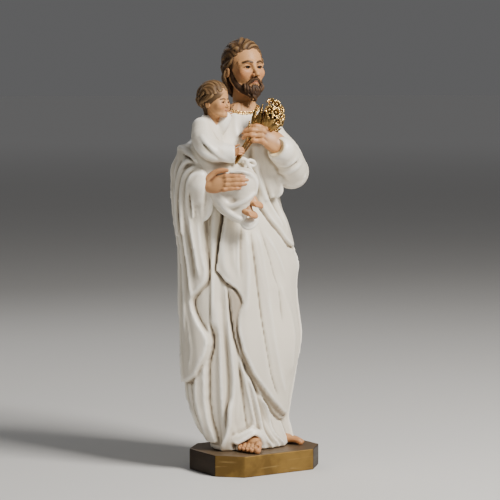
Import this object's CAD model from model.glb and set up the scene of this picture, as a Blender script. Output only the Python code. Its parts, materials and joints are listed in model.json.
import json
import math
import bpy
import numpy as np
from mathutils import Matrix, Vector

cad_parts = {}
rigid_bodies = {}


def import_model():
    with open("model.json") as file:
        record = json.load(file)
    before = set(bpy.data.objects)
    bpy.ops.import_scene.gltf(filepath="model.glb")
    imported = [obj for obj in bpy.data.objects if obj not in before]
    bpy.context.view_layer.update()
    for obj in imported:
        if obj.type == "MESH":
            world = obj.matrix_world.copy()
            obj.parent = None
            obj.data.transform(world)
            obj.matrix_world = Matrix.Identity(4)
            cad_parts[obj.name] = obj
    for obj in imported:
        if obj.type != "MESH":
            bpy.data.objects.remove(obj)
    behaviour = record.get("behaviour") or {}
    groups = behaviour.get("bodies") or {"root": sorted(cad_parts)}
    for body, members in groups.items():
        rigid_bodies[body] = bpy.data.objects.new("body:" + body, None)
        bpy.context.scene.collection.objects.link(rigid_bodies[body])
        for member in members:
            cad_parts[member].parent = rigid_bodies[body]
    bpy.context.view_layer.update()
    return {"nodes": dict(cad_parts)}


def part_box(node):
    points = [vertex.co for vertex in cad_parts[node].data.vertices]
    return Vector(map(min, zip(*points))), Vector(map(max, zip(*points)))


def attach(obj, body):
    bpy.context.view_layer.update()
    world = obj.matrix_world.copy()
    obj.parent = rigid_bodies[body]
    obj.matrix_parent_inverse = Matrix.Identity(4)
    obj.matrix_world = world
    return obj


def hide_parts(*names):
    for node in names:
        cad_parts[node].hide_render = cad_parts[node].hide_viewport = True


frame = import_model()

# Everything is carved in millimetres as seen from the viewing side: x right, y away, z up from the plinth,
# and turned onto the plinth at the end.
figureTurn = -33.0
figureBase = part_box("figure")[0][2]
toRow = (Matrix.Translation((0, 0, figureBase)) @ Matrix.Rotation(math.radians(figureTurn), 4, "Z")
         @ Matrix.Scale(0.001, 4))
turn = math.radians(-figureTurn)
acrossAxis = (math.cos(turn), math.sin(turn))
throughAxis = (-math.sin(turn), math.cos(turn))


def smoothStep(value, low, high):
    t = np.clip((value - low) / (high - low), 0, 1)
    return t * t * (3 - 2 * t)


def softMin(a, b, soft):
    if soft <= 0:
        return np.minimum(a, b)
    h = np.clip(0.5 + 0.5 * (b - a) / soft, 0, 1)
    return b + (a - b) * h - soft * h * (1 - h)


def spline(stations, count):
    # a smooth run through stations of (x, y, z, radius)
    p = np.array(stations, float)
    if len(p) < 3:
        return p
    ends = np.vstack([2 * p[0] - p[1], p, 2 * p[-1] - p[-2]])
    out = []
    for i in range(len(p) - 1):
        a, b, c, d = ends[i:i + 4]
        for k in range(count):
            t = k / count
            out.append(0.5 * (2 * b + (c - a) * t + (2 * a - 5 * b + 4 * c - d) * t * t
                              + (3 * b - a - 3 * c + d) * t ** 3))
    out.append(p[-1])
    return np.array(out)


def scaled(points, size):
    return [[v * size for v in p] for p in points]


def tapered(path, radius, ends=1.0):
    # a path of one radius, drawn in at both ends
    return [(*p, radius * (ends if i in (0, len(path) - 1) else 1.0)) for i, p in enumerate(path)]


def frameOf(place, yaw, pitch):
    # -y looks yaw degrees to the right of the viewer and pitch degrees down
    return (Matrix.Translation(Vector(place)) @ Matrix.Rotation(math.radians(yaw), 4, "Z")
            @ Matrix.Rotation(math.radians(-pitch), 4, "X"))


corners = [(a, b, c) for a in (0, 1) for b in (0, 1) for c in (0, 1)]


class Clay:
    # distances to a surface on a grid, negative inside

    def __init__(self, low, high, grain):
        self.low, self.grain = np.array(low, float), grain
        self.size = np.ceil((np.array(high) - self.low) / grain).astype(int) + 1
        self.axes = [(self.low[i] + grain * np.arange(self.size[i])).astype(np.float32) for i in range(3)]
        self.field = np.full(self.size, 9.0, np.float32)

    def window(self, low, high, margin):
        first = np.floor((np.array(low) - margin - self.low) / self.grain)
        last = np.ceil((np.array(high) + margin - self.low) / self.grain) + 1
        cut = tuple(slice(a, b) for a, b in np.clip([first, last], 0, self.size).astype(int).T)
        x, y, z = (self.axes[i][cut[i]] for i in range(3))
        return cut, x[:, None, None], y[None, :, None], z[None, None, :]

    def apply(self, cut, distance, soft, carve):
        if carve:
            self.field[cut] = -softMin(-self.field[cut], distance, soft)
        else:
            self.field[cut] = softMin(self.field[cut], distance, soft)

    def ball(self, centre, radii, soft=1.0, spin=None, carve=False):
        radii = np.array(radii if np.ndim(radii) else (radii,) * 3, float)
        spin = np.eye(3) if spin is None else spin
        reach = np.abs(spin) @ radii
        cut, x, y, z = self.window(np.array(centre) - reach, np.array(centre) + reach, soft + 2 * self.grain)
        x, y, z = x - centre[0], y - centre[1], z - centre[2]
        q = [spin[0, i] * x + spin[1, i] * y + spin[2, i] * z for i in range(3)]
        k0 = np.sqrt(sum((q[i] / radii[i]) ** 2 for i in range(3)))
        k1 = np.sqrt(sum((q[i] / radii[i] ** 2) ** 2 for i in range(3)))
        self.apply(cut, k0 * (k0 - 1) / np.maximum(k1, 1e-4), soft, carve)

    def rod(self, stations, soft=1.0, count=1, carve=False, flat=None):
        # flat squeezes the rod along a direction: (direction, share)
        p = spline(stations, count) if count > 1 else np.array(stations, float)
        reach = p[:, 3].max()
        cut, x, y, z = self.window(p[:, :3].min(0) - reach, p[:, :3].max(0) + reach, soft + 2 * self.grain)
        best = None
        for a, b in zip(p[:-1], p[1:]):
            d = b[:3] - a[:3]
            px, py, pz = x - a[0], y - a[1], z - a[2]
            t = np.clip((px * d[0] + py * d[1] + pz * d[2]) / max(d @ d, 1e-9), 0, 1)
            ox, oy, oz = px - t * d[0], py - t * d[1], pz - t * d[2]
            squared = ox ** 2 + oy ** 2 + oz ** 2
            if flat:
                n, share = np.array(flat[0]) / np.linalg.norm(flat[0]), flat[1]
                lift = ox * n[0] + oy * n[1] + oz * n[2]
                squared = squared + lift ** 2 * (1 / share ** 2 - 1)
            distance = np.sqrt(squared) - (a[3] + t * (b[3] - a[3]))
            best = distance if best is None else np.minimum(best, distance)
        self.apply(cut, best, soft, carve)

    def flatBase(self):
        self.field = np.maximum(self.field, -self.axes[2])

    def sample(self, field, points):
        q = np.clip((points - self.low) / self.grain, 0, np.array(field.shape) - 1.001)
        i = q.astype(int)
        f = (q - i).astype(np.float32)
        out = np.zeros(len(points), np.float32)
        for corner in corners:
            share = np.ones(len(points), np.float32)
            for k in range(3):
                share = share * (f[:, k] if corner[k] else 1 - f[:, k])
            out += share * field[tuple((i + corner).T)]
        return out

    def crowded(self, reach):
        # share of solid round each place, above a half in a recess
        solid = np.clip(0.5 - self.field / self.grain, 0, 1)
        width = max(1, int(round(reach / self.grain)))
        for axis in (0, 1, 2, 0, 1, 2):
            padded = np.concatenate([np.repeat(solid.take([0], axis), width + 1, axis), solid,
                                     np.repeat(solid.take([-1], axis), width, axis)], axis)
            total = np.cumsum(padded, axis, dtype=np.float32)
            n = solid.shape[axis]
            high = total.take(range(2 * width + 1, 2 * width + 1 + n), axis)
            low = total.take(range(0, n), axis)
            solid = (high - low) / (2 * width + 1)
        return solid

    def net(self):
        # one point in each cell that the surface crosses, joined across the crossed edges
        inside = self.field < 0
        nx, ny, nz = self.size - 1
        count = sum(inside[a:a + nx, b:b + ny, c:c + nz].astype(np.int8) for a, b, c in corners)
        cells = np.argwhere((count > 0) & (count < 8))
        value = np.stack([self.field[tuple((cells + corner).T)] for corner in corners], 1)
        spots = np.array(corners, float)
        total, hits = np.zeros((len(cells), 3)), np.zeros(len(cells))
        for i in range(8):
            for j in range(i + 1, 8):
                if np.abs(spots[i] - spots[j]).sum() != 1:
                    continue
                crossed = (value[:, i] < 0) != (value[:, j] < 0)
                gap = value[:, i] - value[:, j]
                t = np.where(crossed, value[:, i] / np.where(crossed, gap, 1), 0)
                total += np.where(crossed[:, None], spots[i] + t[:, None] * (spots[j] - spots[i]), 0)
                hits += crossed
        points = self.low + (cells + total / hits[:, None]) * self.grain
        index = np.full(self.size, -1, np.int64)
        index[tuple(cells.T)] = np.arange(len(cells))
        faces = []
        for axis in range(3):
            b, c = (axis + 1) % 3, (axis + 2) % 3
            one = inside.take(range(0, self.size[axis] - 1), axis)
            two = inside.take(range(1, self.size[axis]), axis)
            edge = np.argwhere(one != two)
            edge = edge[(edge[:, b] > 0) & (edge[:, c] > 0)]
            leaving = one[tuple(edge.T)]
            stepB, stepC = np.zeros(3, int), np.zeros(3, int)
            stepB[b], stepC[c] = 1, 1
            ring = [edge - stepB - stepC, edge - stepC, edge, edge - stepB]
            quad = np.stack([index[tuple(r.T)] for r in ring], 1)
            quad[~leaving] = quad[~leaving][:, ::-1]
            faces.append(quad)
        faces = np.concatenate(faces)
        return points, faces[(faces >= 0).all(1)]


def relax(points, faces, rounds):
    # evens out the net without shrinking it: a smoothing step and a slightly larger step back
    links = np.concatenate([faces[:, [i, (i + 1) % 4]] for i in range(4)])
    links = np.concatenate([links, links[:, ::-1]])
    degree = np.bincount(links[:, 0], minlength=len(points))[:, None]
    for step in range(rounds * 2):
        mean = [np.bincount(links[:, 0], points[links[:, 1], k], len(points)) for k in range(3)]
        mean = np.stack(mean, 1) / degree
        points = points + (0.5 if step % 2 == 0 else -0.5 * 1.04) * (mean - points)
    return points


def keepLargest(points, faces):
    # drops loose crumbs: labels spread along the faces until each body has one
    label = np.arange(len(points))
    while True:
        low = label[faces].min(1)
        fresh = label.copy()
        np.minimum.at(fresh, faces.ravel(), np.repeat(low, faces.shape[1]))
        fresh = fresh[fresh]
        if (fresh == label).all():
            break
        label = fresh
    counts = np.bincount(label[faces[:, 0]], minlength=len(points))
    keep = label == counts.argmax()
    remap = np.cumsum(keep) - 1
    return points[keep], remap[faces[keep[faces[:, 0]]]]


def addObject(name, data):
    thing = bpy.data.objects.new(name, data)
    bpy.context.scene.collection.objects.link(thing)
    return thing


def dress(piece):
    # stands in for the plain figure and goes where it goes
    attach(piece, "root")
    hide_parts("figure")
    print(piece.name, len(piece.data.polygons), "faces", flush=True)
    return piece


def setMark(mesh, key, values, kind="FLOAT"):
    # a value at each point for the paints to read
    data = mesh.attributes.new(key, kind, "POINT").data
    data.foreach_set("value" if kind == "FLOAT" else "vector", np.ravel(values).astype(np.float32))


def addPiece(name, points, faces, material, marks, matrix=None):
    mesh = bpy.data.meshes.new(name)
    place = np.array(toRow @ (matrix or Matrix.Identity(4)))
    world = points @ place[:3, :3].T + place[:3, 3]
    mesh.from_pydata(world.tolist(), [], faces.tolist())
    mesh.polygons.foreach_set("use_smooth", [True] * len(mesh.polygons))
    for key, values in marks.items():
        setMark(mesh, key, values)
    mesh.materials.append(material)
    return dress(addObject(name, mesh))


def carve(name, clay, material, marks=None, largest=True):
    points, faces = clay.net()
    if largest:
        points, faces = keepLargest(points, faces)
    values = {"recess": clay.sample(clay.crowded(2.0), points)}
    for key, field in (marks or {}).items():
        values[key] = clay.sample(field, points) if isinstance(field, np.ndarray) else field(points)
    addPiece(name, relax(points, faces, 2), faces, material, values)


def addNode(tree, kind, settings, sockets):
    # settings come first, then the values or links of the sockets
    node = tree.nodes.new(kind)
    for key, value in (settings or {}).items():
        setattr(node, key, value)
    for key, value in (sockets or {}).items():
        if isinstance(value, bpy.types.NodeSocket):
            tree.links.new(value, node.inputs[key])
        else:
            node.inputs[key].default_value = value
    return node


class Value:
    # a socket that adds, subtracts and multiplies as a number does
    def __init__(self, finish, socket):
        self.finish, self.socket = finish, socket

    def maths(self, operation, first, second):
        return self.finish.node("ShaderNodeMath", {"operation": operation}, {0: first, 1: second})

    def __add__(self, other):
        return self.maths("ADD", self, other)

    def __radd__(self, other):
        return self.maths("ADD", other, self)

    def __sub__(self, other):
        return self.maths("SUBTRACT", self, other)

    def __rsub__(self, other):
        return self.maths("SUBTRACT", other, self)

    def __mul__(self, other):
        return self.maths("MULTIPLY", self, other)

    def __rmul__(self, other):
        return self.maths("MULTIPLY", other, self)


class Finish:
    # a paint whose colour and gloss come from noise and from the marks on a piece
    def __init__(self, name, roughness=0.5, **constants):
        self.material = bpy.data.materials.new(name)
        self.material.use_nodes = True
        self.tree = self.material.node_tree
        self.shader = self.tree.nodes["Principled BSDF"]
        self.shader.inputs["Roughness"].default_value = roughness
        for key, value in constants.items():
            self.shader.inputs[key.replace("_", " ")].default_value = value
        self.place = self.node("ShaderNodeTexCoord", output="Object")

    def node(self, kind, settings=None, sockets=None, output=0):
        plain = {key: getattr(value, "socket", value) for key, value in (sockets or {}).items()}
        return Value(self, addNode(self.tree, kind, settings, plain).outputs[output])

    def mark(self, name):
        return self.node("ShaderNodeAttribute", {"attribute_name": name}, output="Fac")

    def step(self, value, low, high):
        return self.node("ShaderNodeMapRange", {"interpolation_type": "SMOOTHSTEP"},
                         {0: value, 1: low, 2: high})

    def noise(self, scale, detail, stretch=(1, 1, 1)):
        where = self.node("ShaderNodeMapping", None, {"Vector": self.place, "Scale": stretch})
        return self.node("ShaderNodeTexNoise", None, {"Vector": where, "Scale": scale, "Detail": detail})

    def blend(self, share, one, two):
        one, two = (c if isinstance(c, Value) else (*c, 1) for c in (one, two))
        return self.node("ShaderNodeMix", {"data_type": "RGBA"}, {0: share, 6: one, 7: two}, output=2)

    def feed(self, socket, value):
        self.tree.links.new(value.socket, self.shader.inputs[socket])

    def bump(self, height, strength, distance):
        sockets = {"Height": height, "Strength": strength, "Distance": distance}
        self.feed("Normal", self.node("ShaderNodeBump", None, sockets))


robeColours = {
    "cloth": (0.76, 0.695, 0.575), "crest": (0.88, 0.835, 0.735), "wash": (0.31, 0.245, 0.165),
    "deep": (0.075, 0.046, 0.025), "lining": (0.86, 0.70, 0.38), "shade": (0.30, 0.235, 0.165)}


def robePaint():
    paint = Finish("ivory_robe_paint", Coat_Weight=0.12, Coat_Roughness=0.3)
    recess = paint.mark("recess")
    mottle = paint.noise(60, 4)
    cloud = paint.noise(18, 2)
    worn = recess + (mottle - 0.5) * 0.05 + (cloud - 0.5) * 0.04
    crest = paint.step(worn, 0.48, 0.38)
    wash = paint.step(worn, 0.508, 0.63)
    deep = paint.step(paint.mark("gap") + (mottle - 0.5) * 0.06, 0.60, 0.74)
    colour = paint.blend(crest, robeColours["cloth"], robeColours["crest"])
    colour = paint.blend(paint.mark("shade") * 0.8, colour, robeColours["shade"])
    colour = paint.blend(wash * 0.8, colour, robeColours["wash"])
    colour = paint.blend(deep * 0.85, colour, robeColours["deep"])
    colour = paint.blend(paint.mark("lining") * 0.9, colour, robeColours["lining"])
    paint.feed("Base Color", colour)
    paint.feed("Roughness", 0.40 + wash * 0.25 + (mottle - 0.5) * 0.12)
    paint.bump(mottle + paint.noise(700, 2) * 0.3, 0.12, 0.0004)
    return paint.material


robeMaterial = robePaint()

# Robes: outline from the viewing side as height, left edge, right edge
robes = {
    "grain": 0.96, "flatness": 0.62, "tunicDepth": 5.2, "hemLeft": 5.0, "hemRight": 20.0, "rightEdge": 1.72,
    "edgeWidth": 0.45,
    "outline": [
        (-4, -31, 27), (2, -33, 27.5), (11, -38, 25.6), (18, -41.9, 23.4), (25, -44.7, 24.5),
        (39, -47.4, 26.9), (53, -48.4, 29.7), (67, -49.1, 32.4), (78, -49.4, 33.1), (88, -49.7, 31.7),
        (102, -50.4, 29.8), (119, -51, 28.8), (130, -51.7, 28.2), (144, -53, 26.2), (158, -54.4, 21.9),
        (165, -55.1, 18.4), (179, -56.1, 16), (193, -55.7, 13), (200, -54.3, 13), (206, -52, 14),
        (211, -47, 15), (215, -40, 15), (221, -36, 12), (226, -31, 8), (231, -25, 4), (236, -20, 0),
        (240, -17, -3)],
    # edges of the layers, as height and place across
    "fallEdge": [
        (215, -34), (180, -34.2), (159, -34.9), (140, -34.3), (125, -32.2), (118, -33), (112, -38.4),
        (106, -43.3), (98, -41.9), (90, -38.5), (84, -34.4), (78, -31.4), (69, -33.0), (59, -38.4),
        (52, -41.4), (44, -52)],
    "backEdge": [(78, -32), (60, -35.1), (47, -35.2), (36, -35.2), (22, -33.2), (8, -29.2), (-4, -27)],
    "skirtEdge": [
        (200, -19), (165, -20.7), (145, -24.1), (126, -26.8), (118, -20.1), (113, -12.6), (108, -9.2),
        (103, -7.9), (98, -9.9), (92, -11.3), (84, -11.3), (70, -7.9), (54, -0.4), (38, 10.7), (20, 24.3),
        (16, 40)],
    "liningEdge": [
        (118, -16), (116, -18.7), (106, -17.4), (93, -16), (80, -14), (69, -9.9), (55, -3.1), (41, 5.8),
        (30, 14.9), (17, 24.3), (13, 40)],
    "upperEdge": [
        (206, -32), (201, -12), (192, -1), (180, 2.4), (174, 3.6), (168, 5.1), (160, 10.6), (152, 16.9),
        (144, 22.5), (138, 27.6), (132, 45)],
    # folds as width, rise and path; a groove falls
    "tunicFolds": [
        (5.2, 4.8, [(172, -28.6), (150, -29.2), (126, -29.8), (84, -29.4)]),
        (2.6, 2.4, [(104, -26), (91, -25.4), (50, -24.6), (2, -22)]),
        (3.6, 3.0, [(120, -36.0), (104, -37.2), (88, -35.0)]),
        (2.6, 2.8, [(125, -21), (113, -19.6), (85, -18.1), (50, -14.4), (23, -16.1), (2, -17)]),
        (1.5, 2.2, [(113, -14.6), (80, -12.3), (60, -8.9), (39, -3.0), (12, 3.6)]),
        (1.9, 3.0, [(57, -5.1), (42, 0.3), (28, 4.5), (16.7, 7), (9.7, 8.8), (4.2, 12.3), (-3, 17)]),
        (1.8, 3.0, [(43, 4.4), (31, 10.5), (25.8, 12.8), (15.3, 13.8), (8.2, 17.5), (2.4, 23), (-3, 25)]),
        (1.4, 2.2, [(22, 9.6), (13.3, 11.7), (7.1, 15.8), (1.3, 20), (-3, 22)]),
        (2.4, 4.6, [(36, -17.4), (18, -18.2), (8, -19.8), (3, -22.5), (-3, -25.6)]),
        (1.4, -3.4, [(16, -16.4), (8, -16.0), (-3, -15.8)]),
        (1.1, -0.7, [(80, -22.0), (50, -19.6), (14, -19.8)]),
        (1.0, -1.4, [(60, -11.4), (40, -8), (14, -4)]),
        (1.0, 1.0, [(80, -15.4), (50, -11.6), (20, -12)])],
    "backFolds": [
        (2.4, 2.0, [(84, -37.4), (79, -35.8), (52, -41.2), (35, -41), (10, -34.5)]),
        (2.0, 1.5, [(100, -52), (60, -50), (34, -46.7), (9, -38.4)]),
        (1.2, -1.5, [(60, -46.5), (30, -44), (8, -36.5)])],
    "skirtFolds": [
        (3.2, 1.2, [(160, -20.4), (143, -21.3), (127, -20.1), (119, -14.7)]),
        (0.9, 1.3, [(157, -10.4), (148, -11), (138, -11.4), (122, -11)]),
        (0.8, -1.0, [(157, -8.8), (148, -9.4), (138, -9.8), (122, -9.2)]),
        (2.6, 1.5, [(152, -5.2), (126, -3.9), (105, -4.4), (94, -6.5)]),
        (0.8, -1.3, [(152, -2.4), (126, 1.0), (91, 5.4), (53, 12), (36, 17.4)]),
        (3.0, 1.4, [(152, 1.9), (119, 7), (85, 12.6), (50, 18.5), (36, 22)]),
        (0.9, -1.0, [(156, 3.4), (133, 11.2), (112, 16.4), (88, 20.2)]),
        (0.8, -0.7, [(152, 0.4), (133, 4.6), (106, 8.8)]),
        (6.5, 1.8, [(119, 15.3), (94, 24), (79, 27), (50, 25)]),
        (1.4, 1.0, [(156, -13), (140, -14.6), (124, -13)]),
        (1.2, 1.1, [(150, 8), (134, 17), (118, 22)])],
    "upperFolds": [
        (1.6, 1.7, [(198, -3), (182, 3.0), (168, 9.8), (152, 20)]),
        (1.6, 1.6, [(198, 5), (177, 11.2), (163, 17), (149, 23)]),
        (1.3, 1.3, [(202, 0), (187, 5.7), (176, 14)]),
        (0.9, -0.9, [(190, 2.2), (176, 8.2), (160, 17)]),
        (1.9, 0.6, [(237, -14), (222, -12.5), (208, -9), (196, -4)]),
        (1.9, 1.2, [(236, 0), (222, 6), (205, 9), (188, 12)])],
    "fallFolds": [
        (1.5, 2.4, [(203, -50), (196, -53), (186, -54.4), (164, -53), (117, -49.9), (76, -49.2), (40, -47)]),
        (1.4, 2.2, [(204, -46), (196, -48.6), (183, -50.2), (153, -48.7), (117, -47), (83, -46)]),
        (1.5, 2.4, [(204, -42), (194, -43.6), (183, -45.4), (145, -44.6), (105, -41.5)]),
        (1.5, 2.4, [(200, -37), (189, -38.2), (178, -40.2), (154, -39.4), (121, -36)]),
        (0.9, -1.2, [(150, -42.2), (118, -39.4)]),
        (1.4, 1.0, [(100, -46), (70, -42), (56, -44)])],
}


def across(table, height):
    points = np.array(sorted(table), float)
    return np.interp(height, points[:, 0], points[:, 1])


def softAcross(table, height, reach):
    return sum(across(table, height + o) for o in np.linspace(-reach, reach, 5)) / 5


def robeSection(height):
    outline = np.array(robes["outline"], float)
    left = sum(np.interp(height + o, outline[:, 0], outline[:, 1]) for o in (-2, 0, 2)) / 3
    right = sum(np.interp(height + o, outline[:, 0], outline[:, 2]) for o in (-2, 0, 2)) / 3
    return (left + right) / 2, (right - left) / 2


def aroundAt(place, height):
    centre, half = robeSection(height)
    return np.arcsin(np.clip((place - centre) / half, -1, 1))


def folds(angle, height, table):
    # heights change only along the last axis, so each path is read once for each height
    total = np.zeros_like(angle)
    line = height[0]
    half = robeSection(line)[1]
    for width, rise, path in table:
        levels = [p[0] for p in path]
        place = aroundAt(softAcross(path, line, 4), line)
        fade = smoothStep(line, min(levels) - 4, min(levels) + 8)
        fade = fade * (1 - smoothStep(line, max(levels) - 8, max(levels) + 3))
        off = (angle - place) * half / width
        total += rise * fade * np.exp(-np.abs(off) ** 1.7)
    return total


def insideOf(angle, height, edge, side, reach=0.8):
    line = height[0]
    half = robeSection(line)[1]
    place = aroundAt(softAcross(edge, line, reach), line)
    slope = (aroundAt(softAcross(edge, line + 1, reach), line + 1) - place) * half
    return side * (angle - place) * half / np.sqrt(1 + slope ** 2)


def layOver(relief, top, inside, hollow=1.2):
    # the upper layer with a crisp edge, a shallow hem line on it and a hollow under it
    mask = smoothStep(inside, -robes["edgeWidth"], robes["edgeWidth"])
    hem = -0.12 * np.exp(-((inside - 2.6) / 0.5) ** 2)
    under = -hollow * np.exp(-((inside + 1.3) / 1.0) ** 2)
    return (relief + under) * (1 - mask) + (top + hem) * mask


def backFlutes(angle, height):
    behind = smoothStep(-np.cos(angle), -0.15, 0.35)
    swing = 0.25 * np.sin(height / 60) + 0.0012 * height
    sway = swing + 0.30 * smoothStep(height, 150, 225) * np.sin(angle * 2)
    wave = np.abs(np.cos(4.5 * (angle + sway))) * 2.2 - 1.4 + 0.55 * np.cos(14 * (angle - swing) + 1.0)
    return behind * wave * (1.2 + 0.8 * smoothStep(height, 200, 40))


def robeRelief(angle, height):
    frontSide = np.abs(angle) < 1.77
    flutes = backFlutes(angle, height)
    half = robeSection(height[0])[1]
    ripple = 0.22 * np.sin(angle * 17 + height / 23) * np.sin(height / 17 + angle * 3)
    relief = -robes["tunicDepth"] + folds(angle, height, robes["tunicFolds"])
    relief = relief + 1.5 * smoothStep(height, 16, 0)
    lining = np.where(angle > -1.2, insideOf(angle, height, robes["liningEdge"], 1), -20.0)
    pinch = np.exp(-((height - 97) / 11) ** 2)
    relief = layOver(relief, -2.8 + 1.3 * pinch, lining, 1.9)
    skirt = np.where(angle > -1.3, insideOf(angle, height, robes["skirtEdge"], 1), -20.0)
    relief = layOver(relief, -0.6 + folds(angle, height, robes["skirtFolds"]) + ripple, skirt,
                     1.5 - 1.3 * pinch)
    upper = np.where(angle > -0.6, insideOf(angle, height, robes["upperEdge"], 1), -20.0)
    relief = layOver(relief, 0.8 + folds(angle, height, robes["upperFolds"]) + ripple, upper, 2.6)
    relief = relief + 2.6 * np.exp(-((angle - 1.5) / 0.35) ** 2 - ((height - 126) / 9) ** 2)
    backLeft = np.where(frontSide, insideOf(angle, height, robes["backEdge"], -1), 20.0)
    backRight = (angle - robes["rightEdge"] - 0.07 * np.sin(height / 13)) * half
    hem = robes["hemLeft"] + (robes["hemRight"] - robes["hemLeft"]) * smoothStep(np.sin(angle), -1, 1)
    back = np.minimum(np.where(angle < 0, backLeft, backRight), height - hem)
    rise = -1.6 + 1.9 * smoothStep(np.abs(angle), 1.5, 2.2)
    relief = layOver(relief, rise + flutes + folds(angle, height, robes["backFolds"]) + ripple, back)
    out = 1.5 + 5.0 * smoothStep(height, 110, 178) * np.exp(-((angle + 0.75) / 0.55) ** 2)
    out = out - 3.6 * smoothStep(height, 96, 150) * np.exp(-((angle + 1.62) / 0.5) ** 2)
    top = out + folds(angle, height, robes["fallFolds"]) + ripple
    fall = np.where((angle < 0) & frontSide, insideOf(angle, height, robes["fallEdge"], -1, 2.5), -20.0)
    fade = smoothStep(angle, -1.76, -1.35)
    return layOver(relief, top * fade + relief * (1 - fade), fall, 1.2 * fade)


def robeBearing(offX, offY, half):
    long = half / math.hypot(acrossAxis[0], throughAxis[0] * robes["flatness"])
    short = long * robes["flatness"]
    lean = math.atan2(-throughAxis[0] * robes["flatness"], acrossAxis[0])
    u = offX * acrossAxis[0] + offY * acrossAxis[1]
    v = offX * throughAxis[0] + offY * throughAxis[1]
    around = np.arctan2(v / short, u / long)
    beyond = np.hypot(u, v) - np.hypot(long * np.cos(around), short * np.sin(around))
    return np.mod(around + math.pi / 2 + lean + math.pi, 2 * math.pi), beyond


def bandShade(points):
    # 1 on the turned band under the overskirt's edge
    heights, angles = np.arange(-4, 241, 0.5), np.linspace(-math.pi, math.pi, 1081)
    sheet = np.meshgrid(angles, heights, indexing="ij")
    band = smoothStep(insideOf(*sheet, robes["liningEdge"], 1), -0.2, 0.6)
    band = band * (1 - smoothStep(insideOf(*sheet, robes["skirtEdge"], 1), -0.7, 0.1))
    centre, half = robeSection(points[:, 2])
    angle = robeBearing(points[:, 0] - centre, points[:, 1], half)[0]
    i = np.clip(angle / (2 * math.pi) * 1080, 0, 1080).astype(int)
    j = np.clip((points[:, 2] + 4) / 0.5, 0, len(heights) - 1).astype(int)
    return band[i, j] * (points[:, 2] < 117) * (points[:, 1] < 20)


def robeField(clay):
    # relief on a sheet of angles and heights, then looked up for every place of the grid
    heights = np.arange(-4, 241, 0.4)
    angles = np.linspace(-math.pi, math.pi, 1081)
    sheet = robeRelief(*np.meshgrid(angles, heights, indexing="ij")).astype(np.float32)
    x, y, z = clay.axes
    centre, half = robeSection(np.clip(z, -4, 240).astype(float))
    angle, beyond = robeBearing(x[:, None, None] - centre[None, None, :].astype(np.float32),
                                y[None, :, None], half)
    a = angle / (2 * math.pi) * (len(angles) - 1)
    b = np.clip((z - heights[0]) / 0.4, 0, len(heights) - 1.001)[None, None, :]
    ia, ib = np.minimum(a.astype(np.int32), len(angles) - 2), b.astype(np.int32)
    fa, fb = a - ia, b - ib
    relief = (sheet[ia, ib] * (1 - fa) * (1 - fb) + sheet[ia + 1, ib] * fa * (1 - fb)
              + sheet[ia, ib + 1] * (1 - fa) * fb + sheet[ia + 1, ib + 1] * fa * fb)
    d = (beyond - relief).astype(np.float32)
    slope = np.sqrt(sum(g ** 2 for g in np.gradient(d, clay.grain)))
    d = d / np.clip(slope, 0.7, 4)
    d = np.maximum(d, (z - 240)[None, None, :])
    clay.field = np.minimum(clay.field, d)


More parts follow.
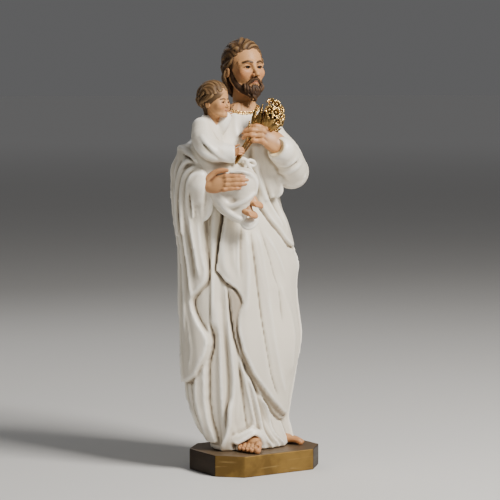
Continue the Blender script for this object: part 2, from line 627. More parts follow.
# Cloth that hangs free of the body: over the right forearm, under the left hand, and the neck opening
drapes = {
    "chest": [((-10, 2, 200), (29, 18, 34)), ((-12, 1, 180), (27, 19, 30))],
    # shoulders, neck, left arm, right arm: path with radii, softness, steps
    "limbs": [
        ([(-28, -11, 217.5, 9.5), (-8, 2, 222.5, 12.5), (9.5, 13, 217, 10.5)], 4, 1),
        ([(-7.5, 3, 224, 12.5), (-7, 5, 233, 10.5)], 4, 1),
        ([(9.5, 13, 215, 11), (21.5, 11, 203.5, 10.4), (25.4, 8, 191.5, 11.4)], 3, 4),
        ([(26, 6, 191, 11.4), (24.5, -5, 195.5, 10.6), (22, -14, 202, 9.6), (18.5, -20, 206.5, 9.6)], 3, 4),
        ([(-30, -13, 214, 9), (-40, -17, 201.5, 10.6), (-44, -19, 193, 11.6)], 3, 4),
        ([(-50, -24, 208.5, 2.2), (-44, -24, 206, 4)], 2, 1),
        ([(-44, -19, 192, 12), (-40, -29, 187, 11), (-38, -37, 185, 9)], 3, 4)],
    "neck": ((-9, -1, 243.9), (16, 20, 14)),
    "feetOpenings": [((-1.5, -27, 0), (9.6, 14, 10.6)), ((33, 7.4, 0.5), (6.5, 7, 6))],
    "cuff": [(11.3, -30.0, 211.1, 8.6), (7.5, -35, 213.6, 10)],
    "bodies": [
        ([(-37.8, -38.5, 189, 5), (-38.2, -36.5, 178, 4.8), (-38.5, -33, 166, 4.4), (-38.5, -30.5, 156, 3)],
         3),
        ([(-46, -24, 204, 6), (-41, -31, 201, 6.5), (-37, -36, 196, 5)], 3),
        ([(-44, -33, 190, 6.5), (-45, -32, 178, 6), (-45, -31, 166, 4.5), (-44, -30, 156, 3)], 3),
        ([(-36.6, -40.6, 190.5, 4.8), (-36.8, -40.4, 183, 4.6), (-37.4, -38.4, 175, 4)], 2),
        ([(-31.5, -38, 179, 3), (-31.6, -36, 169, 3.2), (-33.5, -34.5, 162, 2)], 2),
        ([(1.5, -9, 209, 7.6), (4, -8, 196, 7), (8, -6.4, 185, 5.6), (11, -4.8, 177, 3.6)], 3),
        ([(7, -9, 209, 7), (9, -7.5, 196, 6.5), (12, -5.5, 185, 5), (15, -4.5, 178, 3)], 3)],
    # folds as radius, softness and path
    "folds": [
        (1.0, 1.2, [(-38.6, -45.2, 188.6), (-41.6, -42.8, 184), (-42, -40, 174), (-41.6, -37, 162)]),
        (1.7, 1.2, [(-34.9, -43, 191.8), (-41.4, -43, 191.0), (-44.7, -41.6, 186.1), (-45.7, -36.8, 172.7),
                    (-45.4, -33.6, 158)]),
        (1.7, 1.2, [(-36.6, -39.6, 196.5), (-42.7, -40, 195), (-48.1, -36.8, 188.5), (-49.8, -35, 172.7),
                    (-49.6, -33, 152)]),
        (1.7, 1.2, [(-39.8, -39.4, 200.5), (-46.4, -36, 199.5), (-51.2, -32.6, 190.5), (-53.2, -30.4, 172.4),
                    (-52.8, -29.4, 150)]),
        (2.0, 1.6, [(-50.8, -25, 208.4), (-46.6, -30.6, 207), (-42, -37.2, 203.4), (-39, -39.4, 199)]),
        (1.5, 1.4, [(-36.4, -41.2, 194), (-34.9, -43, 190.4), (-35, -43, 182), (-35.6, -39.6, 172.6),
                    (-36.1, -36.2, 164), (-35.6, -33.6, 157.5)]),
        (1.1, 1.4, [(-28.8, -40.2, 178.2), (-28.9, -38.6, 172.9), (-29.4, -37, 167), (-31.6, -35.6, 162.6),
                    (-35, -34.2, 159.6)]),
        (2.2, 2.0, [(12.1, -14.4, 206), (12.4, -13, 195), (14.8, -10.8, 188.8), (17.2, -8.4, 182.5),
                    (17.6, -7.4, 178), (15.5, -6.8, 174.5)]),
        (2.2, 2.0, [(8, -15, 207.5), (8.4, -13.8, 200), (10, -12.2, 191.2), (13, -9.4, 182.5),
                    (14.6, -7.6, 177)]),
        (2.2, 2.0, [(4.2, -15.8, 208.5), (4.6, -14.8, 200.2), (6, -13.4, 191.4), (9.4, -11, 182.5),
                    (12, -8.8, 175)]),
        (2.2, 2.0, [(0.4, -16.6, 209), (0.6, -15.6, 200.3), (1.6, -15.2, 191.6), (4.2, -14, 182.8),
                    (7.8, -11.4, 173)]),
        (1.7, 1.8, [(15.8, -20, 197.4), (21.5, -21.8, 197.5), (26, -21.4, 200.4), (28, -18.6, 203.6)]),
        (1.8, 2.0, [(15.1, -11.4, 192.9), (22.4, -16.2, 192.3), (28.4, -16.6, 195.6), (31, -13, 199)]),
        (2.2, 2.4, [(17, -11.6, 188), (22.7, -4.4, 184.4), (30.3, -1, 184), (34, -2.6, 188.5)])],
    "grooves": [
        (0.9, [(-36, -43.6, 194.4), (-42.2, -43.4, 193.4), (-46.7, -41.2, 187), (-47.9, -38, 173),
               (-47.6, -35.4, 156)]),
        (0.8, [(-38, -42, 198.8), (-44.8, -39.6, 197.6), (-50, -36.4, 189.5), (-51.9, -34, 173),
               (-51.4, -32.8, 152)]),
        (0.8, [(-48, -31, 204.4), (-43, -37.4, 201.6), (-39, -41, 198)]),
        (0.9, [(16, -19, 195), (23, -20.8, 194.7), (27.6, -19.8, 197.6), (29.6, -16.6, 201.4)])],
    # rolled hem over the right foot: radius and path
    "hem": [
        (2.0, [(-13.4, -21.8, 7.6), (-7.5, -20.2, 10), (-1, -17.6, 13), (3.6, -15.6, 11), (6.6, -13.2, 6)]),
        (1.1, [(-15.2, -22.4, 6.8), (-12.2, -23, 5.4), (-9, -22.8, 6.8), (-4.5, -21.6, 9.2),
               (0.2, -19.6, 11.4), (4, -16.4, 8.4), (6.6, -14, 3.4), (7.6, -12.8, -1)]),
        (0.8, [(-15, -23, 9.4), (-10.2, -22, 11.2), (-4.5, -19.4, 14), (-1, -17, 16.2)])],
}


def carveRobes():
    clay = Clay((-62, -48, -3), (44, 48, 246), robes["grain"])
    robeField(clay)
    body = np.array(Matrix.Rotation(turn, 3, "Z"))
    for centre, radii in drapes["chest"]:
        clay.ball(centre, radii, 3, body)
    for path, soft, count in drapes["limbs"]:
        clay.rod(path, soft, count)
    for path, soft in drapes["bodies"]:
        clay.rod(path, soft, 4)
    for radius, soft, path in drapes["folds"]:
        clay.rod(tapered(path, radius, 0.6), soft, 6)
    for radius, path in drapes["grooves"]:
        clay.rod(tapered(path, radius, 0.3), 1.2, 6, carve=True)
    bare = clay.field
    clay.field = np.full_like(bare, 50)
    clay.rod(drapes["cuff"], 0.1, 4)
    cuff = clay.field
    clay.field = -softMin(-bare, cuff, 0.6)
    clay.ball(drapes["neck"][0], drapes["neck"][1], 0.8, carve=True)
    for centre, radii in drapes["feetOpenings"]:
        clay.ball(centre, radii, 1.0, carve=True)
    for radius, path in drapes["hem"]:
        clay.rod(tapered(path, radius), 1.6, 5)
    clay.flatBase()
    carve("robes", clay, robeMaterial, {
        "lining": np.clip(1 - cuff / 1.2, 0, 1).astype(np.float32), "shade": bandShade,
        "gap": clay.crowded(0.9)})
    return clay, bare


robeClay, bareRobes = carveRobes()
print("robes done", flush=True)

skinColours = {
    "skin": (0.50, 0.258, 0.110), "blush": (0.44, 0.16, 0.062), "lip": (0.25, 0.085, 0.05),
    "wash": (0.13, 0.052, 0.022), "deep": (0.012, 0.006, 0.003),
    "hair": (0.060, 0.030, 0.012), "lock": (0.20, 0.115, 0.048),
    "beard": (0.034, 0.016, 0.007), "beardLock": (0.095, 0.048, 0.020),
    "childHair": (0.080, 0.043, 0.017), "childLock": (0.25, 0.150, 0.066)}


def facePaint(name, hairTone, lockTone):
    paint = Finish(name, Specular_IOR_Level=0.22)
    recess = paint.mark("recess")
    mottle = paint.noise(220, 3)
    skin = paint.blend(paint.mark("blush") * (0.5 + mottle * 0.4), skinColours["skin"], skinColours["blush"])
    wash = paint.step(recess + (mottle - 0.5) * 0.05, 0.55, 0.78) * 0.75
    skin = paint.blend(wash, skin, skinColours["wash"])
    skin = paint.blend(paint.mark("lip"), skin, skinColours["lip"])
    skin = paint.blend(paint.mark("brow"), skin, hairTone)
    skin = paint.blend(paint.mark("lash"), skin, skinColours["deep"])
    strands = recess + (mottle - 0.5) * 0.10
    dark = paint.blend(paint.step(strands, 0.48, 0.30), skinColours["beard"], skinColours["beardLock"])
    hair = paint.blend(paint.step(strands, 0.50, 0.34), hairTone, lockTone)
    hair = paint.blend(paint.mark("beard"), hair, dark)
    hair = paint.blend(paint.step(strands, 0.56, 0.74), hair, skinColours["deep"])
    mask = paint.step(paint.mark("hair"), 0.35, 0.65)
    paint.feed("Base Color", paint.blend(mask, skin, hair))
    paint.feed("Roughness", 0.46 + mask * 0.14 + (mottle - 0.5) * 0.1)
    paint.bump(mottle, 0.10, 0.0003)
    return paint.material


# Heads in shares of their own height, chin at 0 and crown at 1, face towards -y
heads = {
    "man": {
        "size": 39.5, "frame": ((-5.4, 0, 242.5), 30, 6), "grain": 0.33, "browTone": 1.0,
        "eye": (0.118, -0.245, 0.495), "lidRadius": 0.072, "brow": 0.042,
        "noseTip": (-0.408, 0.375), "noseRadius": 0.041, "bridge": -0.292,
        "mouth": 0.236, "mouthWidth": 0.082, "chin": 0.08, "cheek": 0.080, "jaw": 0.072,
        "cranium": (0.315, 0.395, 0.37), "face": ((-0.085, 0.43), (0.245, 0.255, 0.37)), "neck": 0.185,
        # hair: middle and radii of the cap, the opening for the face, the nape
        "hairCap": ((0, 0.105, 0.625), (0.322, 0.395, 0.372)),
        "hairOpening": ((0, -0.43, 0.38), (0.270, 0.34, 0.40)),
        "nape": [(0, 0.30, 0.45, 0.16), (0, 0.27, 0.22, 0.11)]},
    "child": {
        "size": 24.4, "frame": ((-25.4, -32, 228.6), 58, 4), "grain": 0.26, "browTone": 0.95,
        "eye": (0.130, -0.262, 0.425), "lidRadius": 0.080, "brow": 0.030,
        "noseTip": (-0.385, 0.325), "noseRadius": 0.042, "bridge": -0.305,
        "mouth": 0.205, "mouthWidth": 0.064, "chin": 0.095, "cheek": 0.120, "jaw": 0.050,
        "cranium": (0.370, 0.435, 0.390), "face": ((-0.075, 0.385), (0.290, 0.275, 0.350)), "neck": 0.165,
        "hairCap": ((0, 0.100, 0.620), (0.385, 0.445, 0.395)),
        "hairOpening": ((0, -0.47, 0.33), (0.310, 0.36, 0.37)),
        "nape": [(0, 0.30, 0.45, 0.17), (0, 0.28, 0.20, 0.12)]},
}


def headFrame(key):
    place, yaw, pitch = heads[key]["frame"]
    return frameOf(place, yaw, pitch)


def carveFace(head, clay):
    size = head["size"]

    def ball(x, y, z, rx, ry=None, rz=None, soft=0.04, carve=False):
        radii = (rx, ry or rx, rz or rx)
        clay.ball((x * size, y * size, z * size), [r * size for r in radii], soft * size, carve=carve)

    def rod(*stations, soft=0.03, carve=False):
        clay.rod(scaled(stations, size), soft * size, 3, carve)

    eyeX, eyeY, eyeZ = head["eye"]
    tipY, tipZ = head["noseTip"]
    mouth, width, radius, lid = head["mouth"], head["mouthWidth"], head["noseRadius"], head["lidRadius"]
    ball(0, 0.09, 0.63, *head["cranium"])
    ball(0, *head["face"][0], *head["face"][1], 0.06)
    rod((0, 0.09, 0.35, head["neck"]), (0, 0.12, 0.0, head["neck"]), (0, 0.13, -0.36, head["neck"] * 1.1),
        soft=0.05)
    for side in (-1, 1):
        rod((side * 0.235, 0.03, 0.34, head["jaw"]), (side * 0.185, -0.10, 0.165, head["jaw"]),
            (side * 0.06, -0.24, 0.085, 0.072), soft=0.06)
        ball(side * 0.165, -0.225, eyeZ - 0.085, head["cheek"], head["cheek"] * 0.9, head["cheek"], 0.08)
        rod((side * 0.215, -0.20, eyeZ + 0.07, head["brow"]),
            (side * 0.13, -0.28, eyeZ + 0.095, head["brow"]),
            (side * 0.045, -0.305, eyeZ + 0.08, head["brow"]), soft=0.04)
        ball(side * eyeX, -0.345, eyeZ + 0.005, 0.082, 0.068, 0.048, 0.045, carve=True)
        ball(side * eyeX, eyeY, eyeZ, lid, soft=0.018)
        rod((side * (eyeX - 0.060), -0.300, eyeZ - 0.004, 0.009),
            (side * eyeX, eyeY - lid - 0.001, eyeZ + 0.027, 0.012),
            (side * (eyeX + 0.062), -0.275, eyeZ + 0.002, 0.010), soft=0.012)
        ball(side * eyeX, eyeY - lid + 0.005, eyeZ - 0.002, 0.052, 0.040, 0.019, 0.006, carve=True)
    rod((0, head["bridge"], eyeZ + 0.075, 0.027),
        (0, (head["bridge"] + tipY) / 2 + 0.006, (eyeZ + tipZ) / 2 + 0.03, radius * 0.78),
        (0, tipY + 0.008, tipZ + 0.01, radius * 0.95), soft=0.035)
    ball(0, tipY - 0.004, tipZ, radius, soft=0.02)
    for side in (-1, 1):
        ball(side * radius * 1.12, tipY + 0.042, tipZ - 0.016, radius * 0.78, radius, radius * 0.75, 0.016)
        nostril = (radius * 0.32, radius * 0.5, radius * 0.32)
        ball(side * radius * 0.6, tipY + 0.016, tipZ - 0.042, *nostril, 0.008, carve=True)
    ball(0, -0.245, mouth + 0.005, 0.12, 0.085, 0.10, 0.05)
    front = -0.325
    rod((-width, front + 0.035, mouth + 0.002, 0.012), (-width * 0.35, front - 0.010, mouth + 0.020, 0.020),
        (0, front - 0.015, mouth + 0.015, 0.018), (width * 0.35, front - 0.010, mouth + 0.020, 0.020),
        (width, front + 0.035, mouth + 0.002, 0.012), soft=0.014)
    rod((-width * 0.8, front + 0.030, mouth - 0.010, 0.012), (0, front - 0.010, mouth - 0.022, 0.026),
        (width * 0.8, front + 0.030, mouth - 0.010, 0.012), soft=0.014)
    rod((-width * 1.05, front + 0.012, mouth, 0.006), (0, front - 0.036, mouth - 0.001, 0.008),
        (width * 1.05, front + 0.012, mouth, 0.006), soft=0.008, carve=True)
    ball(0, -0.255, head["chin"], 0.072, 0.07, 0.065, 0.06)
    for side in (-1, 1):
        ball(side * 0.322, 0.075, eyeZ - 0.04, 0.028, 0.070, 0.095, 0.02)
        ball(side * 0.350, 0.062, eyeZ - 0.03, 0.018, 0.040, 0.058, 0.02, carve=True)


def onCap(centre, radii, bearing, rise, lift):
    # bearing 0 looks to the front and 90 to the side, rise is up from the level, in degrees
    b, r = math.radians(bearing), math.radians(rise)
    ray = (math.cos(r) * math.sin(b), -math.cos(r) * math.cos(b), math.sin(r))
    return [centre[i] + radii[i] * lift * ray[i] for i in range(3)]


def addLock(clay, size, centre, radii, start, end, thick, wave, phase, lift):
    # a loose lock: start and end hold its bearing and rise in degrees
    steps, stations = 8, []
    for k in range(steps + 1):
        s = k / steps
        bearing = start[0] + (end[0] - start[0]) * s + wave * math.sin(s * 8 + phase)
        rise = start[1] + (end[1] - start[1]) * s
        out = lift[0] + (lift[1] - lift[0]) * s + 0.012 * math.sin(s * 11 + phase * 2)
        taper = thick * (0.75 + 0.45 * math.sin(math.pi * min(1, s * 1.15 + 0.12)) - 0.40 * s ** 3)
        stations.append([v * size for v in (*onCap(centre, radii, bearing, rise, out), taper)])
    clay.rod(stations, 0.006 * size, 3)


def addCombed(clay, size, centre, radii, start, end, thick, wave, phase, lift, strands=3):
    # a lock combed over the head: start and end hold its place to the side and from front to back, in degrees
    for strand in range(strands):
        shift = (strand - (strands - 1) / 2) * thick * 105
        steps, stations = 9, []
        for k in range(steps + 1):
            s = k / steps
            aside = start[0] + (end[0] - start[0]) * s + wave * math.sin(s * 7 + phase)
            aside += shift * (1 - 0.5 * s)
            over = start[1] + (end[1] - start[1]) * s
            out = lift[0] + (lift[1] - lift[0]) * math.sin(math.pi * min(1, s * 1.2))
            out += 0.012 * math.sin(s * 9 + phase * 2)
            out -= 0.012 * abs(strand - (strands - 1) / 2)
            a, o = math.radians(aside), math.radians(over)
            ray = (math.sin(a), -math.cos(o) * math.cos(a), math.sin(o) * math.cos(a))
            taper = thick * (0.72 + 0.38 * math.sin(math.pi * min(1, s * 1.1 + 0.10)) - 0.34 * s ** 4)
            stations.append([(centre[i] + radii[i] * out * ray[i]) * size for i in range(3)] + [taper * size])
        clay.rod(stations, 0.004 * size, 2)


# Raised locks over the brow, from the parting: start, end, thickness and lift
hairWaves = [
    ((-26, 40), (34, 96), 0.026, (1.03, 1.12)), ((-20, 34), (48, 80), 0.026, (1.03, 1.11)),
    ((-8, 31), (58, 66), 0.024, (1.02, 1.09)), ((-30, 50), (18, 120), 0.026, (1.03, 1.12)),
    ((-34, 36), (-62, 60), 0.024, (1.02, 1.08)), ((-33, 46), (-60, 96), 0.026, (1.03, 1.09)),
    ((-30, 60), (-44, 130), 0.026, (1.03, 1.08))]


def addHairCap(head, clay):
    size = head["size"]
    clay.ball(*scaled(head["hairCap"], size), 0)
    clay.ball(*scaled(head["hairOpening"], size), 0.02 * size, carve=True)
    clay.rod(scaled(head["nape"], size), 0.04 * size)
    return size, *head["hairCap"]


def carveManHair(head, clay):
    size, centre, radii = addHairCap(head, clay)
    for side in (-1, 1):
        bulk = [(side * 0.285, 0.150, 0.50, 0.075), (side * 0.265, 0.185, 0.33, 0.090),
                (side * 0.205, 0.215, 0.17, 0.075), (side * 0.15, 0.235, 0.07, 0.04)]
        clay.rod(scaled(bulk, size), 0.03 * size, 3)
        for i in range(6):
            x, y = 0.352 - 0.022 * i, 0.085 + 0.052 * i
            lock = [(side * x, y, 0.47, 0.020), (side * (x + 0.012), y + 0.02, 0.38, 0.026),
                    (side * (x - 0.030), y + 0.03, 0.27, 0.026),
                    (side * (x - 0.075), y + 0.035, 0.16 - 0.01 * (i % 2), 0.020),
                    (side * (x - 0.11), y + 0.02, 0.09, 0.010)]
            clay.rod(scaled(lock, size), 0.004 * size, 3)
    rng = np.random.default_rng(7)
    for layer, count in ((0, 19), (1, 15)):
        for i in range(count):
            f = i / (count - 1) * 2 - 1
            side = abs(f)
            first = 36 - 20 * side ** 2 + layer * 10 + rng.uniform(-3, 3)
            last = (196 + 22 * side) - layer * 34 + rng.uniform(-8, 8)
            sweep = 16 * (1 - side) if f > -0.35 else -10 * (1 - side)
            thick, phase = 0.018 + 0.006 * rng.random(), rng.uniform(0, 6.3)
            addCombed(clay, size, centre, radii, (66 * f - 4, first), (70 * f + sweep, last), thick, 7, phase,
                      (1.02, 1.06 + 0.04 * layer * (1 - side)), 4)
    for start, end, thick, lift in hairWaves:
        addCombed(clay, size, centre, radii, start, end, thick, 6, rng.uniform(0, 6.3), lift, 4)
    for side in (-1, 1):
        for i in range(5):
            start, end = (side * (60 + 8 * i), 6 - 3 * i), (side * (116 + 11 * i), -34 - 3 * i)
            addLock(clay, size, centre, radii, start, end, 0.028, 4, rng.uniform(0, 6.3), (1.02, 1.05))
    for i in range(9):
        f = i / 8 * 2 - 1
        start, end = (180 - 62 * f, -6), (180 - 50 * f + rng.uniform(-4, 4), -50)
        addLock(clay, size, centre, radii, start, end, 0.032, 5, rng.uniform(0, 6.3), (1.02, 1.06))


def carveChildHair(head, clay):
    size, centre, radii = addHairCap(head, clay)
    rng = np.random.default_rng(3)
    for layer, count in ((0, 13), (1, 11)):
        for i in range(count):
            f = i / (count - 1) * 2 - 1
            side = abs(f)
            start = (66 * f, 25 - 14 * side ** 2 + layer * 10 + rng.uniform(-3, 3))
            end = (72 * f + rng.uniform(-3, 3), 190 + 24 * side - layer * 36 + rng.uniform(-6, 6))
            thick, phase = 0.029 + 0.004 * rng.random(), rng.uniform(0, 6.3)
            addCombed(clay, size, centre, radii, start, end, thick, 7, phase, (1.02, 1.06 + 0.03 * layer))
    for side in (-1, 1):
        for i in range(4):
            start, end = (side * (58 + 10 * i), 8 - 4 * i), (side * (112 + 14 * i), -34 - 4 * i)
            addLock(clay, size, centre, radii, start, end, 0.042, 5, rng.uniform(0, 6.3), (1.0, 1.04))
    for i in range(7):
        f = i / 6 * 2 - 1
        start, end = (180 - 66 * f, -4), (180 - 50 * f + rng.uniform(-4, 4), -46)
        addLock(clay, size, centre, radii, start, end, 0.048, 5, rng.uniform(0, 6.3), (1.0, 1.05))


def carveBeard(size, clay):
    rng = np.random.default_rng(5)

    def strand(points, soft=0.006):
        clay.rod(scaled(points, size), soft * size, 3)

    for side in (-1, 1):
        strand([(side * 0.262, 0.02, 0.46, 0.030), (side * 0.255, -0.02, 0.33, 0.050),
                (side * 0.20, -0.12, 0.17, 0.062), (side * 0.09, -0.21, 0.08, 0.070)], 0.02)
    strand([(-0.085, -0.20, 0.080, 0.062), (0, -0.240, 0.055, 0.078), (0.085, -0.20, 0.080, 0.062)], 0.02)
    for side in (-1, 1):
        strand([(side * 0.150, -0.225, 0.190, 0.040), (side * 0.120, -0.255, 0.130, 0.050),
                (side * 0.06, -0.280, 0.085, 0.055)], 0.02)
    # strands over the chin: place to the side, top, length
    chinStrands = [
        (-0.045, 0.150, 0.10), (0.0, 0.155, 0.11), (0.045, 0.150, 0.10), (-0.09, 0.165, 0.11),
        (0.09, 0.165, 0.11), (-0.13, 0.19, 0.12), (0.13, 0.19, 0.12), (-0.165, 0.215, 0.13),
        (0.165, 0.215, 0.13)]
    for x, top, drop in chinStrands:
        y = -0.335 + 2.6 * x * x
        strand([(x * 1.05, y + 0.01, top, 0.016), (x * 1.1 + 0.006, y - 0.004, top - drop * 0.5, 0.021),
                (x * 0.95, y + 0.012, top - drop, 0.017)])
    # rows along the jaw: strands, standing out, length, thickness
    fringe = ((21, 0.00, 0.085, 0.022), (19, 0.022, 0.10, 0.023), (15, 0.014, 0.115, 0.022))
    for row, (count, out, drop, thick) in enumerate(fringe):
        for k in range(count):
            bearing = math.radians((-86 + 172 * k / (count - 1)) * (1 - 0.14 * row))
            front = math.cos(bearing)
            x, y = 0.262 * math.sin(bearing), 0.022 - 0.262 * front - 0.045 * front ** 4 - out * front
            top = 0.40 - 0.05 * row - 0.255 * front ** 1.5 + rng.uniform(-0.01, 0.01)
            sway, phase = 0.018, rng.uniform(0, 6.3)
            points = []
            for j in range(6):
                s = j / 5
                pull = 1 - (0.42 + 0.12 * row) * s
                points.append((x * pull + sway * math.sin(s * 7 + phase),
                               y - 0.035 * front * math.sin(math.pi * s) + 0.03 * s,
                               top - (drop + 0.03 * front) * s,
                               thick * (1 - 0.5 * s * s) * min(1, 0.35 + 2 * s)))
            strand(points)
    for side in (-1, 1):
        for k in range(4):
            s = k / 3
            strand([(side * 0.012, -0.350 - 0.012 * (1 - s), 0.305 - 0.012 * k, 0.014),
                    (side * 0.06, -0.338 + 0.004 * k, 0.292 - 0.014 * k, 0.019),
                    (side * (0.105 + 0.010 * k), -0.300 + 0.004 * k, 0.245 - 0.012 * k, 0.018),
                    (side * (0.118 + 0.014 * k), -0.272, 0.185 - 0.012 * k, 0.012)])
    for k in range(5):
        x = (k - 2) * 0.02
        strand([(x, -0.318, 0.185, 0.012), (x * 1.4, -0.324, 0.13, 0.017), (x * 1.5, -0.322, 0.06, 0.020),
                (x * 1.2 + 0.008 * math.sin(k * 2), -0.302, 0.005, 0.014)])


def near(points, size, path, reach, front=-0.10):
    # 1 on a path across the face and fading to 0 at its reach
    p = np.array(path, float) * size
    best = np.full(len(points), 1e9)
    for a, b in zip(p[:-1], p[1:]):
        d = b - a
        t = np.clip(((points[:, [0, 2]] - a) @ d) / (d @ d), 0, 1)
        best = np.minimum(best, np.linalg.norm(points[:, [0, 2]] - a - t[:, None] * d, axis=1))
    return (1 - smoothStep(best, 0.45 * reach * size, reach * size)) * (points[:, 1] < front * size)


def fillNeck(clay, matrix):
    # skin under the neck opening, kept just below the cloth
    x, y, z = np.meshgrid(*clay.axes, indexing="ij")
    m = np.array(matrix)
    places = np.stack([x, y, z], axis=-1).reshape(-1, 3) @ m[:3, :3].T + m[:3, 3]
    cloth = robeClay.sample(bareRobes, places).reshape(x.shape)
    wide, deep = 17, 8
    cap = (np.sqrt((x / wide) ** 2 + ((y - 1) / wide) ** 2 + ((z + 10) / deep) ** 2) - 1) * deep
    clay.field = softMin(clay.field, np.maximum(cap, cloth + 0.9), 1.5).astype(np.float32)


def addHead(key, material, hair, beard=None):
    head = heads[key]
    size = head["size"]
    low, high = scaled([(-0.47, -0.50, -0.42), (0.47, 0.62, 1.12)], size)
    clay, hairClay = Clay(low, high, head["grain"]), Clay(low, high, head["grain"])
    carveFace(head, clay)
    if key == "man":
        fillNeck(clay, headFrame(key))
    hair(head, hairClay)
    if beard:
        beard(size, hairClay)
    skin = clay.field.copy()
    clay.field = softMin(skin, hairClay.field, 0.012 * size)
    share = np.clip(0.5 + (skin - hairClay.field) / (2.4 * head["grain"]), 0, 1).astype(np.float32)
    eyeX, eyeZ = head["eye"][0], head["eye"][2]
    mouth, width = head["mouth"], head["mouthWidth"]
    points, faces = clay.net()
    points, faces = keepLargest(points, faces)
    marks = {"recess": clay.sample(clay.crowded(0.022 * size), points), "hair": clay.sample(share, points)}
    if beard:
        forward = -points[:, 1] + 0.7 * (0.50 * size - points[:, 2])
        marks["beard"] = smoothStep(forward, -0.04 * size, 0.10 * size)
    lipLine = [(-width * 0.9, mouth), (0, mouth - 0.002), (width * 0.9, mouth)]
    marks["lip"] = 0.85 * near(points, size, lipLine, 0.034, -0.25)

    def onBothSides(strength, path, reach):
        # a mark on either side of the face, from a path of places to the side and up
        sides = [near(points, size, [(side * x, z) for x, z in path], reach) for side in (-1, 1)]
        return np.maximum(*(strength * share for share in sides))

    browLine = [(0.05, eyeZ + 0.085), (0.12, eyeZ + 0.108), (0.195, eyeZ + 0.085)]
    lashLine = [(eyeX - 0.056, eyeZ + 0.006), (eyeX - 0.02, eyeZ + 0.024), (eyeX + 0.025, eyeZ + 0.023),
                (eyeX + 0.062, eyeZ + 0.004)]
    marks["brow"] = onBothSides(head["browTone"], browLine, 0.028)
    marks["lash"] = onBothSides(0.9, lashLine, 0.0125)
    marks["blush"] = onBothSides(0.7, [(0.14, eyeZ - 0.11), (0.18, eyeZ - 0.10)], 0.13)
    addPiece(key + "_head", relax(points, faces, 1), faces, material, marks, headFrame(key))
    addEyes(key, head)


eyeColours = {"white": (0.60, 0.48, 0.35), "iris": (0.060, 0.028, 0.012), "rim": (0.014, 0.007, 0.005),
              "pupil": (0.005, 0.003, 0.002)}


def eyePaint():
    paint = Finish("painted_eyes", 0.35, Specular_IOR_Level=0.2)
    turnAway = paint.mark("gaze")
    colour = paint.blend(paint.step(turnAway, 0.80, 0.72), eyeColours["white"], eyeColours["iris"])
    rim = paint.step(turnAway, 0.74, 0.68) * paint.step(turnAway, 0.58, 0.66)
    colour = paint.blend(rim, colour, eyeColours["rim"])
    colour = paint.blend(paint.step(turnAway, 0.42, 0.36), colour, eyeColours["pupil"])
    paint.feed("Base Color", colour)
    return paint.material


eyeMaterial = eyePaint()


def addEyes(key, head):
    size, rings, sides = head["size"], 20, 32
    points, faces, marks = [], [], []
    eyeX, eyeY, eyeZ = head["eye"]
    radius = (head["lidRadius"] - 0.011) * size
    for side in (-1, 1):
        base = len(points)
        gaze = Matrix.Rotation(math.radians(side * -2), 3, "Z") @ Matrix.Rotation(math.radians(6), 3, "X")
        for r in range(rings + 1):
            polar = math.pi * r / rings
            for k in range(sides):
                a = 2 * math.pi * k / sides
                flat = math.sin(polar)
                ray = gaze @ Vector((flat * math.cos(a), -math.cos(polar), flat * math.sin(a)))
                middle = (side * eyeX, eyeY, eyeZ)
                points.append([middle[i] * size + ray[i] * radius for i in range(3)])
                marks.append(polar)
        for r in range(rings):
            for k in range(sides):
                a, b = base + r * sides + k, base + r * sides + (k + 1) % sides
                faces.append([a, a + sides, b + sides, b])
    piece = addPiece(key + "_eyes", np.array(points), np.array(faces), eyeMaterial, {"gaze": marks},
                     headFrame(key))
    weld = piece.modifiers.new("poles", "WELD")
    weld.merge_threshold = 0.000005


manPaint = facePaint("man_face_paint", skinColours["hair"], skinColours["lock"])
childPaint = facePaint("child_face_paint", skinColours["childHair"], skinColours["childLock"])
addHead("man", manPaint, carveManHair, carveBeard)
addHead("child", childPaint, carveChildHair)
print("heads done", flush=True)


def skinPaint():
    paint = Finish("skin_paint", 0.46, Specular_IOR_Level=0.3)
    recess = paint.mark("recess")
    mottle = paint.noise(220, 3)
    skin = paint.blend(paint.step(recess, 0.46, 0.26) * 0.35, skinColours["skin"], skinColours["blush"])
    wash = paint.step(recess + (mottle - 0.5) * 0.05, 0.44, 0.58) * 0.95
    skin = paint.blend(wash, skin, skinColours["wash"])
    paint.feed("Base Color", skin)
    paint.feed("Roughness", 0.42 + (mottle - 0.5) * 0.1)
    paint.bump(mottle, 0.10, 0.0003)
    return paint.material


skinMaterial = skinPaint()

# Hands: wrist, middle fingertip, way the back looks, length, bend of the three joints and spread of the
# fingers, length of arm, and the thumb's path along, across and up from the palm
hands = {
    "right": {
        "wrist": (-34.0, -41.8, 184.2), "tip": (-6, -49.2, 187), "back": (-0.12, -0.97, 0.2), "size": 31,
        "curl": (6, 12, 14), "fan": (-4, -1, 1, 3), "arm": 0.1,
        "thumb": ((0.10, 0.12, 0.02), (0.26, 0.24, 0.045), (0.42, 0.275, 0.05), (0.55, 0.27, 0.045))},
    "left": {
        "wrist": (20.5, -21, 208.3), "tip": (-9, -29, 227), "back": (0.2, -0.9, 0.42), "size": 36.5,
        "curl": (10, 44, 40), "fan": (-22, -24, -25, -24), "arm": 0.06,
        "thumb": ((0.10, 0.12, -0.03), (0.28, 0.20, -0.09), (0.42, 0.20, -0.16), (0.52, 0.16, -0.20))},
}
limbGrain = 0.36


